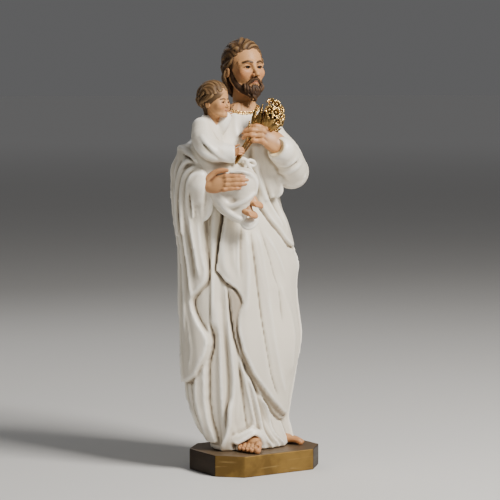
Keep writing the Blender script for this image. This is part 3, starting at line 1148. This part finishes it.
def carveHand(clay, wrist, tip, back, size, curl, thumb, arm, fan):
    along = (Vector(tip) - Vector(wrist)).normalized()
    back = Vector(back)
    back = (back - along * back.dot(along)).normalized()
    side = along.cross(back)
    side = side if side.z > 0 else -side

    def at(a, s, b):
        return Vector(wrist) + (along * a + side * s + back * b) * size

    spin = np.array(Matrix((along, side, back)).transposed())
    lift = (tuple(back), 0.72)
    wristPath = [(*at(-arm, 0, -0.01), 0.115 * size), (*at(0.0, 0, 0), 0.115 * size),
                 (*at(0.10, 0, 0), 0.12 * size)]
    clay.rod(wristPath, 0.03 * size, 3, flat=lift)
    clay.ball(at(0.27, 0, 0), (0.27 * size, 0.19 * size, 0.082 * size), 0.05 * size, spin)
    clay.ball(at(0.17, 0.11, -0.05), (0.17 * size, 0.09 * size, 0.08 * size), 0.05 * size, spin)
    clay.ball(at(0.22, -0.11, -0.04), (0.20 * size, 0.08 * size, 0.07 * size), 0.05 * size, spin)
    # fingers: length, root along and across the palm, spread, radius
    fingers = ((0.40, 0.51, 0.145, fan[0], 0.056), (0.44, 0.53, 0.050, fan[1], 0.057),
               (0.42, 0.51, -0.048, fan[2], 0.055), (0.34, 0.46, -0.138, fan[3], 0.050))
    for reach, start, offset, spread, radius in fingers:
        point = at(start, offset, 0.012)
        stations = [(*at(start - 0.2, offset * 0.85, 0.0), radius * 0.8 * size),
                    (*point, radius * 1.08 * size)]
        heading, slant = 0.0, math.tan(math.radians(spread))
        for share, bend, width in ((0.46, curl[0], 0.95), (0.30, curl[1], 0.92), (0.24, curl[2], 0.84)):
            heading += math.radians(bend)
            step = along * math.cos(heading) - back * math.sin(heading) + side * slant * math.cos(heading)
            step.normalize()
            middle = point + step * share * reach * size * 0.5
            stations.append((*middle, radius * width * 0.93 * size))
            point = point + step * share * reach * size
            stations.append((*point, radius * width * (1.0 if share > 0.25 else 0.9) * size))
        clay.rod(stations, 0.008 * size, 2)
        clay.ball(at(start, offset, 0.035), 0.042 * size, 0.03 * size)
    radii = (0.085, 0.062, 0.054, 0.040)
    clay.rod([(*at(*p), r * size) for p, r in zip(thumb, radii)], 0.025 * size, 3)


def carveFoot(clay, heel, toe, size, inner, leg=0.55, plump=1.0):
    along = (Vector(toe) - Vector(heel)).normalized()
    level = Vector((0, 0, 1))
    side = along.cross(level).normalized() * inner
    level = side.cross(along) * inner
    level = level if level.z > 0 else -level

    def at(a, s, z):
        return Vector(heel) + (along * a + side * s * plump ** 0.5 + level * z) * size

    def rod(*stations, soft=0.03):
        clay.rod([(*at(a, s, z * plump), r * size * plump) for a, s, z, r in stations], soft * size, 3)

    rod((0.10, 0, 0.13, 0.12), (0.14, 0, 0.32 if leg > 0.4 else leg * 0.8, 0.12), (0.16, 0, leg, 0.13))
    rod((0.18, 0.02, 0.26, 0.12), (0.40, 0.035, 0.19, 0.105), (0.66, 0.05, 0.10, 0.075),
        (0.76, 0.06, 0.075, 0.055), soft=0.05)
    rod((0.12, -0.03, 0.10, 0.10), (0.45, -0.075, 0.085, 0.080), (0.66, -0.100, 0.066, 0.060), soft=0.05)
    rod((0.45, 0.03, 0.15, 0.10), (0.66, 0.0, 0.090, 0.075), soft=0.05)
    toes = ((1.0, 0.064), (0.985, 0.044), (0.945, 0.041), (0.895, 0.039), (0.84, 0.038))
    for i, (reach, radius) in enumerate(toes):
        s = 0.120 - (0.0 if i == 0 else 0.020) - 0.068 * i
        rod((0.62, s * 0.85, 0.09, radius), (reach - 0.19, s, 0.098, radius * 0.88),
            (reach - 0.10, s, 0.074, radius * 0.95), (reach - radius, s, 0.050, radius * 0.92), soft=0.006)
        if plump == 1.0:
            nail = at(reach - radius * 0.9, s, 0.052 + radius * 0.92)
            clay.ball(nail, (radius * 0.55 * size,) * 3, 0.006 * size, carve=True)


def addHands():
    for key, hand in hands.items():
        low = np.minimum(hand["wrist"], hand["tip"]) - 16
        high = np.maximum(hand["wrist"], hand["tip"]) + 16
        clay = Clay(low, high, limbGrain)
        carveHand(clay, **hand)
        carve(key + "_hand", clay, skinMaterial)


# Feet: heel, toe, length, side of the big toe
feet = {"right_foot": ((1.5, 9, 0), (-3.6, -33.5, 0), 43, -1),
        "left_foot": ((3, 20, 0), (36.0, 6.4, 0), 35.6, 1)}


def addFeet():
    for key, (heel, toe, size, inner) in feet.items():
        low, high = np.minimum(heel, toe) - 10, np.maximum(heel, toe) + 10
        clay = Clay((low[0], low[1], -2), (high[0], high[1], 18), limbGrain)
        carveFoot(clay, heel, toe, size, inner)
        clay.flatBase()
        carve(key, clay, skinMaterial)


childRobe = {
    "grain": 0.62,
    "body": [(-29, -28, 183, 12.5), (-31, -30, 200, 12.2), (-31.8, -30, 214, 10.5), (-31.5, -29.6, 223, 7.2),
             (-31, -29, 229, 4.6)],
    "thighs": [[(-29, -30, 186, 12.5), (-18, -35, 186, 11), (-8, -37, 186, 9.6)],
               [(-26, -26, 183, 11), (-14, -31, 182, 10), (-8, -34, 180, 9)]],
    "shins": [[(-7, -37, 185, 9.4), (-8, -38, 174, 7.8), (-9.5, -38.5, 165, 5.2), (-9.5, -38, 160.5, 2.6)],
              [(-22, -33, 180, 9.5), (-18, -34, 172, 8.0), (-13.5, -36, 165, 5.2)],
              [(-33, -30, 206, 9.6), (-29, -29, 197, 11), (-20, -31, 192, 10.4)],
              [(-16, -34.4, 181, 8.4), (-14.5, -35, 173, 7.2), (-12, -37, 166, 5.2)],
              [(-25, -37, 180, 6.0), (-20.5, -38, 172.5, 6.0), (-14, -39.5, 166, 4.2)]],
    "sleeve": [(-35.5, -34, 223, 6.6), (-34.5, -39.5, 215, 7.8), (-29, -42.5, 208, 7.8),
               (-20.5, -43, 206, 6.4), (-15.5, -43, 205.5, 5.8)],
    "farSleeve": [(-25.5, -28, 221, 5.8), (-22, -28.5, 225, 5.0), (-20, -28, 229, 4.4)],
    "sleeveOpening": [(-17.5, -43, 205.7, 4.6), (-11, -43, 205.5, 5.0)],
    "neckOpening": [(-30.5, -29, 227.5, 3.6), (-30.5, -29, 236, 4.2)],
    "collar": [(-35.4, -30, 227.2), (-32.5, -33.8, 226.2), (-28, -33.2, 226.4), (-26, -29.5, 227.6)],
    # ridges: radius, path on the cloth
    "folds": [
        (1.8, [(-38, -40.8, 217), (-38.2, -43.6, 210.5), (-33, -48, 205.2), (-26, -48, 202.4)]),
        (1.2, [(-26.5, -40.5, 176), (-20, -42.5, 168), (-10, -42.5, 161.5)]),
        (1.1, [(-27, -37, 172), (-21, -39.5, 165.5), (-11, -40.5, 159.5)]),
        (1.2, [(-3, -45.5, 192), (1.0, -42, 187), (0.6, -41, 179)]),
        (1.0, [(-16, -45.8, 193), (-8, -46.5, 193.5), (-2, -44, 191)]),
        (1.3, [(-35.1, -46.4, 216.5), (-31.7, -48.8, 211.5), (-26.6, -49.4, 206.6), (-20.3, -46.6, 202),
               (-15.6, -43.6, 200.2)]),
        (1.2, [(-23.3, -43.2, 178.3), (-20.4, -43.4, 172.7), (-16.5, -44.2, 170.3), (-10.5, -45.8, 172),
               (-4.9, -45.6, 175), (-0.7, -43.3, 178.3)]),
        (1.3, [(-27.6, -41.5, 178.3), (-23.4, -42.4, 173.1), (-19.1, -43.8, 167.6), (-13.9, -43.8, 163.4),
               (-9.2, -43.4, 161.2)]),
    ],
    "grooves": [
        (0.6, [(-35.6, -46.4, 214.2), (-32, -49.6, 209.4), (-27, -50.8, 204.2), (-20.6, -47.6, 199.4),
               (-15.6, -44.2, 197.8)])],
}


def addChildRobe():
    clay = Clay((-50, -56, 152), (10, -8, 236), childRobe["grain"])
    clay.rod(childRobe["body"], 2, 4)
    for limb in childRobe["thighs"] + childRobe["shins"]:
        clay.rod(limb, 3.0, 4)
    clay.rod(childRobe["sleeve"], 1.6, 4)
    clay.rod(childRobe["farSleeve"], 1.6, 4)
    for radius, path in childRobe["folds"]:
        clay.rod(tapered(path, radius, 0.75), 2.2, 5)
    for radius, path in childRobe["grooves"]:
        clay.rod(tapered(path, radius), 1.2, 5, carve=True)
    clay.rod(childRobe["sleeveOpening"], 0.5, carve=True)
    clay.rod(childRobe["neckOpening"], 0.8, carve=True)
    clay.rod(tapered(childRobe["collar"], 0.8), 0.8, 4)
    carve("child_robe", clay, robeMaterial)


# Ends of the girdle and the rolled cloth under the child's feet, as radius and path
girdle = {"roll": [(-7.8, -37, 160, 3.2), (-4.2, -37.6, 158.2, 3.4), (-0.8, -36.2, 160.4, 2.9)], "ties": [
    (1.3, [(-10.4, -23.5, 199.4), (-8.6, -24.6, 201.2), (-6.2, -24.4, 200.6), (-5.4, -23.6, 198.6)]),
    (1.2, [(-5.4, -23.6, 198.6), (-3.4, -23, 200.2), (-0.8, -21.6, 199.4), (0.2, -20.4, 197.4),
           (-1.4, -21, 196.2), (-3.8, -22.4, 197.2)]),
    (1.1, [(-5.2, -23.4, 198.4), (-3.6, -22.4, 195.2), (-1.6, -20.8, 192.4), (-0.2, -19.8, 189.6)]),
    (1.0, [(-6, -23.6, 198.2), (-6.4, -23, 195), (-6, -22, 192)]),
    (1.3, [(-9.5, -38, 159.6), (-7.4, -38.8, 156.2), (-4.4, -39, 154.9), (-1.0, -38.4, 156.2),
           (1.2, -36.6, 158.8), (1.8, -34, 161.2)])]}


def addTies():
    clay = Clay((-18, -46, 148), (10, -12, 206), 0.45)
    for radius, path in girdle["ties"]:
        clay.rod(tapered(path, radius), 0.7, 6)
    clay.rod(girdle["roll"], 0.9, 4)
    carve("girdle_ends", clay, robeMaterial, largest=False)


childLimbs = {
    "thumb": ((0.10, 0.12, 0.0), (0.30, 0.26, 0.0), (0.46, 0.32, 0.0), (0.56, 0.32, 0.0)),
    # wrist, middle fingertip, way the back looks, size, curl, length of arm, spread of the fingers
    "hands": [
        ((-17, -43, 205.4), (-8, -45.2, 207.6), (-0.2, -0.9, 0.35), 14, (35, 62, 45), 0.35, (4, 1, -2, -6)),
        ((-24, -28.6, 228), (-15.5, -27.6, 233.4), (-0.3, -0.85, 0.3), 11, (6, 10, 8), 0.35,
         (14, 4, -6, -16))],
    # heel, toe, size, side of the big toe, length of leg, plumpness
    "feet": [((-8.9, -38.1, 172.4), (4.5, -42.4, 168.0), 14.4, -1, 0.3, 1.9),
             ((-12.2, -39.5, 166.8), (-0.8, -43.5, 161.8), 14.2, -1, 0.25, 2.0)],
}


def addChildLimbs():
    clay = Clay((-34, -52, 158), (12, -18, 240), limbGrain)
    for wrist, tip, back, size, curl, arm, fan in childLimbs["hands"]:
        carveHand(clay, wrist, tip, back, size, curl, childLimbs["thumb"], arm, fan)
    for foot in childLimbs["feet"]:
        carveFoot(clay, *foot)
    carve("child_hands_and_feet", clay, skinMaterial, largest=False)


addHands()
addFeet()
addChildRobe()
addChildLimbs()
addTies()
print("hands, feet and child done", flush=True)


# Gold in its low places and on its high ones, and the wash in the recesses
goldColours = {"flowers": ((0.24, 0.125, 0.032), (0.82, 0.55, 0.20)),
               "leaves": ((0.085, 0.042, 0.012), (0.30, 0.175, 0.052)), "wash": (0.045, 0.021, 0.008)}


def goldPaint(name, low, high):
    paint = Finish(name, Coat_Weight=0.2, Coat_Roughness=0.2)
    recess = paint.mark("recess")
    mottle = paint.noise(260, 3)
    worn = recess + (mottle - 0.5) * 0.10
    gold = paint.blend(paint.step(worn, 0.43, 0.27), low, high)
    dark = paint.step(worn, 0.455, 0.60)
    paint.feed("Base Color", paint.blend(dark, gold, goldColours["wash"]))
    paint.feed("Metallic", 0.95 - dark * 0.55)
    paint.feed("Roughness", 0.26 + dark * 0.3 + (mottle - 0.5) * 0.14)
    paint.bump(mottle, 0.2, 0.0003)
    return paint.material


goldMaterial = goldPaint("antique_gold_paint", *goldColours["flowers"])
leafMaterial = goldPaint("dark_gold_paint", *goldColours["leaves"])

lilies = {
    "petalLength": 4.5, "petalWidth": 1.5, "petals": 6, "petalThickness": 0.35,
    "stamen": 0.45, "stamenLift": 1.7, "heart": ((11, -20, 229.5), (5.8, 3.8, 7.8)),
    # centre, way it opens, scale
    "flowers": [
        ((11.2, -22.5, 239.2), (-0.1, -0.9, 0.8), 0.78), ((14.6, -21, 237.6), (0.4, -1, 0.5), 0.82),
        ((17.4, -18.5, 234.4), (0.9, -0.7, 0.3), 0.78), ((10.2, -25, 234.2), (-0.2, -1, 0.2), 0.85),
        ((14.2, -24.4, 232.6), (0.3, -1, 0.1), 0.85), ((17.6, -21, 229.6), (0.8, -0.9, 0), 0.80),
        ((15, -23.8, 226.6), (0.4, -1, -0.3), 0.80), ((13.5, -16, 238), (0.6, 0.4, 0.9), 0.8),
        ((16.8, -15.5, 231), (1, 0.3, 0.2), 0.8), ((17.4, -18, 225.6), (0.9, -0.5, -0.2), 0.72)],
    "stems": [
        [(-13, -42.2, 198.4, 0.5), (-9.4, -40.6, 205.5, 0.6), (-3.4, -29, 214, 0.7), (8, -20, 229, 0.9)],
        [(-11.8, -42.8, 199.6, 0.5), (-8, -40.8, 206.6, 0.6), (-1.6, -28, 215.4, 0.7), (12, -20, 228, 0.8)],
        [(-12.2, -41.6, 198.8, 0.5), (-7.6, -39.8, 205, 0.6), (-1.2, -27.6, 213, 0.7), (12, -19, 224, 0.8)],
        [(-13.4, -41.6, 199.8, 0.45), (-9.8, -39.8, 207, 0.55), (-4.4, -28.4, 216, 0.6), (3, -22, 232, 0.7)]],
    # leaves: root, middle, tip, half width
    "leaves": [
        ((0.5, -22, 217), (-0.5, -23, 227), (1.5, -21, 237.5), 2.0),
        ((3, -22, 218), (3.4, -23.4, 228), (5.5, -21, 238), 2.2),
        ((5, -22, 219), (6.5, -24.6, 225), (6.5, -24, 231.5), 1.9),
        ((8, -21, 217), (13, -20, 219.5), (18, -17, 221.5), 2.0),
        ((8, -21, 220), (15, -21.5, 223.5), (19.5, -17.5, 226), 2.1),
        ((-1, -25, 214), (-3.2, -25, 220), (-3.6, -24, 226.5), 1.5),
        ((6, -22, 218), (8.2, -25.6, 226), (8.4, -25.2, 234), 2.3),
        ((8, -22, 218), (12.4, -25.6, 223), (15.4, -25, 226), 2.2),
        ((7, -22, 219), (10.6, -26, 226), (12.6, -25.6, 231), 2.0)],
}


def carveLeaves():
    clay = Clay((-18, -48, 194), (25, -10, 244), 0.36)
    for stem in lilies["stems"]:
        clay.rod(stem, 0.3, 5)
    clay.ball(*lilies["heart"], 1.0)
    for root, middle, tip, width in lilies["leaves"]:
        blade = [(*root, width * 0.45), (*middle, width), (*tip, 0.35)]
        heading = np.array(tip) - np.array(root)
        face = np.cross(heading, np.cross((0.1, -1, 0.15), heading))
        clay.rod(blade, 0.4, 6, flat=(face, 0.30))
        ridge = np.array(middle) + face / np.linalg.norm(face) * width * 0.22
        clay.rod([(*p[:3], 0.45) for p in spline([(*root, 1), (*ridge, 1), (*tip, 1)], 4)], 0.5)
    carve("lily_leaves", clay, leafMaterial, largest=False)


def petalObject():
    rows, columns = 8, 5
    points, depth = [], []
    for back in (0, 1):
        for i in range(rows + 1):
            s = i / rows
            wide = lilies["petalWidth"] * (math.sin(math.pi * min(0.97, s ** 0.8 * 0.93 + 0.06)) ** 0.8)
            for j in range(columns + 1):
                t = j / columns * 2 - 1
                x = wide * t
                out = lilies["petalLength"] * (0.16 + 0.80 * s)
                rise = 1.9 * math.sin(s * 2.3) + 0.45 * abs(t) * math.sin(math.pi * s)
                rise -= lilies["petalThickness"] * back
                points.append((out, x, rise))
                depth.append(0.56 - 0.34 * s ** 0.6 + 0.08 * (1 - abs(t)) * (1 - s) + (0.22 if back else 0))

    def grid(back, i, j):
        return back * (rows + 1) * (columns + 1) + i * (columns + 1) + j

    faces = []
    for i in range(rows):
        for j in range(columns):
            faces.append([grid(0, i, j), grid(0, i + 1, j), grid(0, i + 1, j + 1), grid(0, i, j + 1)])
            faces.append([grid(1, i, j), grid(1, i, j + 1), grid(1, i + 1, j + 1), grid(1, i + 1, j)])
    rim = [(0, j) for j in range(columns + 1)] + [(i, columns) for i in range(1, rows + 1)]
    rim += [(rows, j) for j in range(columns - 1, -1, -1)] + [(i, 0) for i in range(rows - 1, 0, -1)]
    for (i, j), (k, m) in zip(rim, rim[1:] + rim[:1]):
        faces.append([grid(0, i, j), grid(0, k, m), grid(1, k, m), grid(1, i, j)])
    mesh = bpy.data.meshes.new("petal")
    mesh.from_pydata(scaled(points, 0.001), [], faces)
    mesh.polygons.foreach_set("use_smooth", [True] * len(mesh.polygons))
    setMark(mesh, "recess", depth)
    return addObject("petal", mesh)


class Tree:
    # a Geometry Nodes tree with named inputs, made into a plain mesh by bake
    def __init__(self, name, inputs):
        self.group = bpy.data.node_groups.new(name, "GeometryNodeTree")
        self.group.interface.new_socket("Geometry", in_out="OUTPUT", socket_type="NodeSocketGeometry")
        self.group.interface.new_socket("Geometry", in_out="INPUT", socket_type="NodeSocketGeometry")
        self.ids = {}
        for key, (kind, default) in inputs.items():
            socket = self.group.interface.new_socket(key, in_out="INPUT", socket_type=kind)
            self.ids[key] = (socket.identifier, default)
        self.entry = self.group.nodes.new("NodeGroupInput")
        self.exit = self.group.nodes.new("NodeGroupOutput")

    def input(self, key):
        return self.entry.outputs[key]

    def node(self, kind, settings=None, sockets=None, output=0):
        return addNode(self.group, kind, settings, sockets).outputs[output]

    def join(self, *parts):
        node = self.group.nodes.new("GeometryNodeJoinGeometry")
        for part in parts:
            self.group.links.new(part, node.inputs[0])
        return node.outputs[0]

    def finish(self, geometry, material):
        real = self.node("GeometryNodeRealizeInstances", None, {0: geometry})
        smooth = self.node("GeometryNodeSetShadeSmooth", None, {0: real})
        real = self.node("GeometryNodeRealizeInstances", None, {0: smooth})
        painted = self.node("GeometryNodeSetMaterial", None, {"Geometry": real, "Material": material})
        self.group.links.new(painted, self.exit.inputs[0])

    def bake(self, name, source):
        modifier = source.modifiers.new(name, "NODES")
        modifier.node_group = self.group
        for identifier, default in self.ids.values():
            modifier[identifier] = default
        result = bpy.data.meshes.new_from_object(source.evaluated_get(bpy.context.evaluated_depsgraph_get()))
        source.modifiers.remove(modifier)
        bpy.data.objects.remove(source)
        result.name = name
        result.transform(toRow @ Matrix.Scale(1000, 4))
        return dress(addObject(name, result))


def addFlowers():
    petal = petalObject()
    centres, ways, scales = zip(*lilies["flowers"])
    mesh = bpy.data.meshes.new("flower_places")
    mesh.from_pydata(scaled(centres, 0.001), [], [])
    setMark(mesh, "aim", ways, "FLOAT_VECTOR")
    setMark(mesh, "bigness", scales)
    places = addObject("flower_places", mesh)
    tree = Tree("lily_flowers", {
        "Petals": ("NodeSocketInt", lilies["petals"]), "Petal": ("NodeSocketObject", petal),
        "Stamen": ("NodeSocketFloat", lilies["stamen"] * 0.001)})
    lift = (0, 0, lilies["stamenLift"] * 0.001)

    def ringOf(count, radius):
        sockets = {"Vertices": count, "Radius": radius}
        return tree.node("GeometryNodeMeshCircle", {"fill_type": "NONE"}, sockets)

    def scatter(points, instance, **sockets):
        sockets.update({"Points": points, "Instance": instance})
        return tree.node("GeometryNodeInstanceOnPoints", None, sockets)

    def maths(operation, one, two):
        return tree.node("ShaderNodeMath", {"operation": operation}, {0: one, 1: two})

    ring = ringOf(tree.input("Petals"), 0.0001)
    petalStep = maths("DIVIDE", 2 * math.pi, tree.input("Petals"))
    angle = maths("MULTIPLY", tree.node("GeometryNodeInputIndex"), petalStep)
    spin = tree.node("ShaderNodeCombineXYZ", None, {"Z": angle})
    shape = tree.node("GeometryNodeObjectInfo", None, {"Object": tree.input("Petal")}, output="Geometry")
    whorl = scatter(ring, shape, Rotation=spin)
    bead = tree.node("GeometryNodeMeshIcoSphere", None, {"Radius": tree.input("Stamen"), "Subdivisions": 2})
    bead = tree.node("GeometryNodeSetPosition", None, {"Geometry": bead, "Offset": lift})
    flower = tree.join(whorl, scatter(ringOf(5, 0.0005), bead))
    way = tree.node("GeometryNodeInputNamedAttribute", {"data_type": "FLOAT_VECTOR"}, {"Name": "aim"})
    bigness = tree.node("GeometryNodeInputNamedAttribute", {"data_type": "FLOAT"}, {"Name": "bigness"})
    turned = tree.node("FunctionNodeAlignEulerToVector", {"axis": "Z"}, {"Vector": way})
    tree.finish(scatter(tree.input("Geometry"), flower, Rotation=turned, Scale=bigness), goldMaterial)
    tree.bake("lily_flowers", places)
    bpy.data.objects.remove(petal)


trim = {"spacing": 2.9, "loop": 1.5, "wire": 0.42, "bead": 0.68, "band": 0.42}


def addTrim():
    # the gilt edge of the neckline: a wire with loops and beads, laid on the robes
    points = []
    centre, radii = np.array(drapes["neck"][0], float), np.array(drapes["neck"][1], float)
    tilt = np.radians(np.arange(4, 150, 0.5))
    for k in range(48):
        a = 2 * math.pi * k / 48
        ray = np.stack([np.sin(tilt) * math.cos(a), np.sin(tilt) * math.sin(a), -np.cos(tilt)], axis=1)
        solid = robeClay.sample(robeClay.field, centre + ray * (radii + 0.9))
        points.append(centre + ray[np.argmax(solid > 0)] * (radii + 0.35))
    ring = np.array(points)
    ring = (np.roll(ring, 1, axis=0) + 2 * ring + np.roll(ring, -1, axis=0)) / 4
    points = [tuple(float(v) for v in p) for p in ring]
    curve = bpy.data.curves.new("neckline", "CURVE")
    curve.dimensions = "3D"
    line = curve.splines.new("POLY")
    line.points.add(len(points) - 1)
    for p, q in zip(line.points, points):
        p.co = (*(v * 0.001 for v in q), 1)
    line.use_cyclic_u = True
    source = addObject("neckline", curve)
    tree = Tree("neckline_trim", {key.title(): ("NodeSocketFloat", trim[key] * 0.001) for key in trim})

    def circle(sides, radius):
        sockets = {"Resolution": sides, "Radius": tree.input(radius)}
        return tree.node("GeometryNodeCurvePrimitiveCircle", None, sockets)

    def wireAlong(path, profile):
        return tree.node("GeometryNodeCurveToMesh", None, {"Curve": path, "Profile Curve": profile})

    sockets = {"Curve": tree.input("Geometry"), "Length": tree.input("Spacing")}
    path = tree.node("GeometryNodeResampleCurve", {"mode": "LENGTH"}, sockets)
    band = wireAlong(path, circle(8, "Band"))
    loop = wireAlong(circle(14, "Loop"), circle(6, "Wire"))
    bead = tree.node("GeometryNodeMeshIcoSphere", None, {"Radius": tree.input("Bead"), "Subdivisions": 2})
    tangent = tree.node("GeometryNodeInputTangent")
    outward = tree.node("ShaderNodeVectorMath", {"operation": "CROSS_PRODUCT"}, {0: tangent, 1: (0, 0, 1)})
    facing = tree.node("FunctionNodeAlignEulerToVector", {"axis": "Z"}, {"Vector": outward})
    sockets = {"Points": path, "Instance": tree.join(loop, bead), "Rotation": facing}
    loops = tree.node("GeometryNodeInstanceOnPoints", None, sockets)
    tree.finish(tree.join(band, loops), goldMaterial)
    tree.bake("neckline_trim", source)


carveLeaves()
addFlowers()
addTrim()
print("lilies and trim done", flush=True)


plinthColours = {
    "gold": (0.14, 0.080, 0.019), "worn": (0.25, 0.148, 0.037), "brushed": (0.50, 0.34, 0.13),
    "dark": (0.013, 0.0065, 0.003), "top": (0.115, 0.075, 0.042), "topWorn": (0.20, 0.14, 0.08),
    "bright": (-0.38, -0.92, 0)}  # the way the polished side looks


def plinthPaint():
    paint = Finish("bronze_gold_plinth_paint", 0.42, Specular_IOR_Level=0.25)
    mottle = paint.noise(70, 5)
    cloud = paint.noise(14, 3)
    brushed = paint.noise(40, 3, (1, 1, 9))
    normal = paint.node("ShaderNodeNewGeometry", output="Normal")

    def facing(way):
        settings = {"operation": "DOT_PRODUCT"}
        return paint.node("ShaderNodeVectorMath", settings, {0: normal, 1: way}, output="Value")

    tones = plinthColours
    patches = paint.step(mottle + (cloud - 0.5) * 0.5, 0.38, 0.66)
    colour = paint.blend(patches, tones["gold"], tones["worn"])
    colour = paint.blend(paint.step(brushed, 0.60, 0.75) * 0.35, colour, tones["brushed"])
    colour = paint.blend(paint.step(facing(tones["bright"]), 0.85, 0.60) * 0.93, colour, tones["dark"])
    top = paint.blend(mottle * 0.6, tones["top"], tones["topWorn"])
    colour = paint.blend(paint.step(facing((0, 0, 1)), 0.4, 0.9), colour, top)
    paint.feed("Base Color", colour)
    paint.feed("Metallic", 0.45 + (mottle - 0.5) * 0.3)
    paint.feed("Roughness", 0.44 + (brushed - 0.5) * 0.25)
    paint.bump(mottle + brushed * 0.3, 0.25, 0.0004)
    return paint.material


plinth = frame["nodes"]["plinth"]
plinth.data.materials.clear()
plinth.data.materials.append(plinthPaint())
print("plinth done", flush=True)

# Camera, light and floor
view = {"distance": 1.4, "height": 0.264, "side": -0.0031, "aim": 0.1521, "lens": 145.73}


def lookAt(thing, aim):
    thing.rotation_euler = (aim - thing.location).to_track_quat("-Z", "Y").to_euler()


def addCamera():
    a = math.radians(figureTurn)
    right, ahead = Vector((math.cos(a), math.sin(a), 0)), Vector((-math.sin(a), math.cos(a), 0))
    camera = addObject("camera", bpy.data.cameras.new("camera"))
    camera.data.sensor_width, camera.data.lens = 36, view["lens"]
    camera.location = right * view["side"] - ahead * view["distance"] + Vector((0, 0, view["height"]))
    lookAt(camera, right * view["side"] + Vector((0, 0, view["aim"])))
    bpy.context.scene.camera = camera
    return right, ahead


# place to the right, away and up, height it aims at
lights = {
    "key": {"place": (0.66, -0.55, 0.92), "aim": 0.16, "size": 0.36, "power": 27.5,
            "colour": (1, 0.965, 0.92)},
    "fill": {"place": (-0.8, -0.75, 0.35), "aim": 0.15, "size": 0.7, "power": 0.7, "colour": (0.96, 0.98, 1)},
    "rim": {"place": (-0.4, 0.7, 0.7), "aim": 0.18, "size": 0.5, "power": 1.5, "colour": (1, 1, 1)},
}


def addLight(name, right, ahead):
    lamp = lights[name]
    data = bpy.data.lights.new(name, "AREA")
    data.size, data.energy, data.color = lamp["size"], lamp["power"], lamp["colour"]
    light = addObject(name, data)
    light.location = right * lamp["place"][0] + ahead * lamp["place"][1] + Vector((0, 0, lamp["place"][2]))
    lookAt(light, Vector((0, 0, lamp["aim"])))


right, ahead = addCamera()
for name in lights:
    addLight(name, right, ahead)

surroundings = {"sky": (0.62, 0.62, 0.63, 1), "skyPower": 0.19, "floorReach": 60,
                "floor": (0.60, 0.59, 0.57), "floorPale": (0.66, 0.65, 0.63), "haze": (0.044, 0.044, 0.045)}


def addSurroundings():
    world = bpy.data.worlds.new("studio")
    world.use_nodes = True
    world.node_tree.nodes["Background"].inputs[0].default_value = surroundings["sky"]
    world.node_tree.nodes["Background"].inputs[1].default_value = surroundings["skyPower"]
    bpy.context.scene.world = world
    reach = surroundings["floorReach"]
    mesh = bpy.data.meshes.new("floor")
    ground = [(-reach, -reach, 0), (reach, -reach, 0), (reach, reach, 0), (-reach, reach, 0)]
    mesh.from_pydata(ground, [], [(0, 1, 2, 3)])
    floor = addObject("floor", mesh)
    paint = Finish("pale_floor", 0.8)
    cloud = paint.noise(3, 2) * 0.3
    paint.feed("Base Color", paint.blend(cloud, surroundings["floor"], surroundings["floorPale"]))
    away = paint.node("ShaderNodeVectorMath", {"operation": "LENGTH"}, {0: paint.place}, output="Value")
    paint.shader.inputs["Emission Strength"].default_value = 1
    paint.feed("Emission Color", paint.blend(paint.step(away, 1.2, 9), (0, 0, 0), surroundings["haze"]))
    mesh.materials.append(paint.material)


addSurroundings()
print("camera, light and floor done", flush=True)
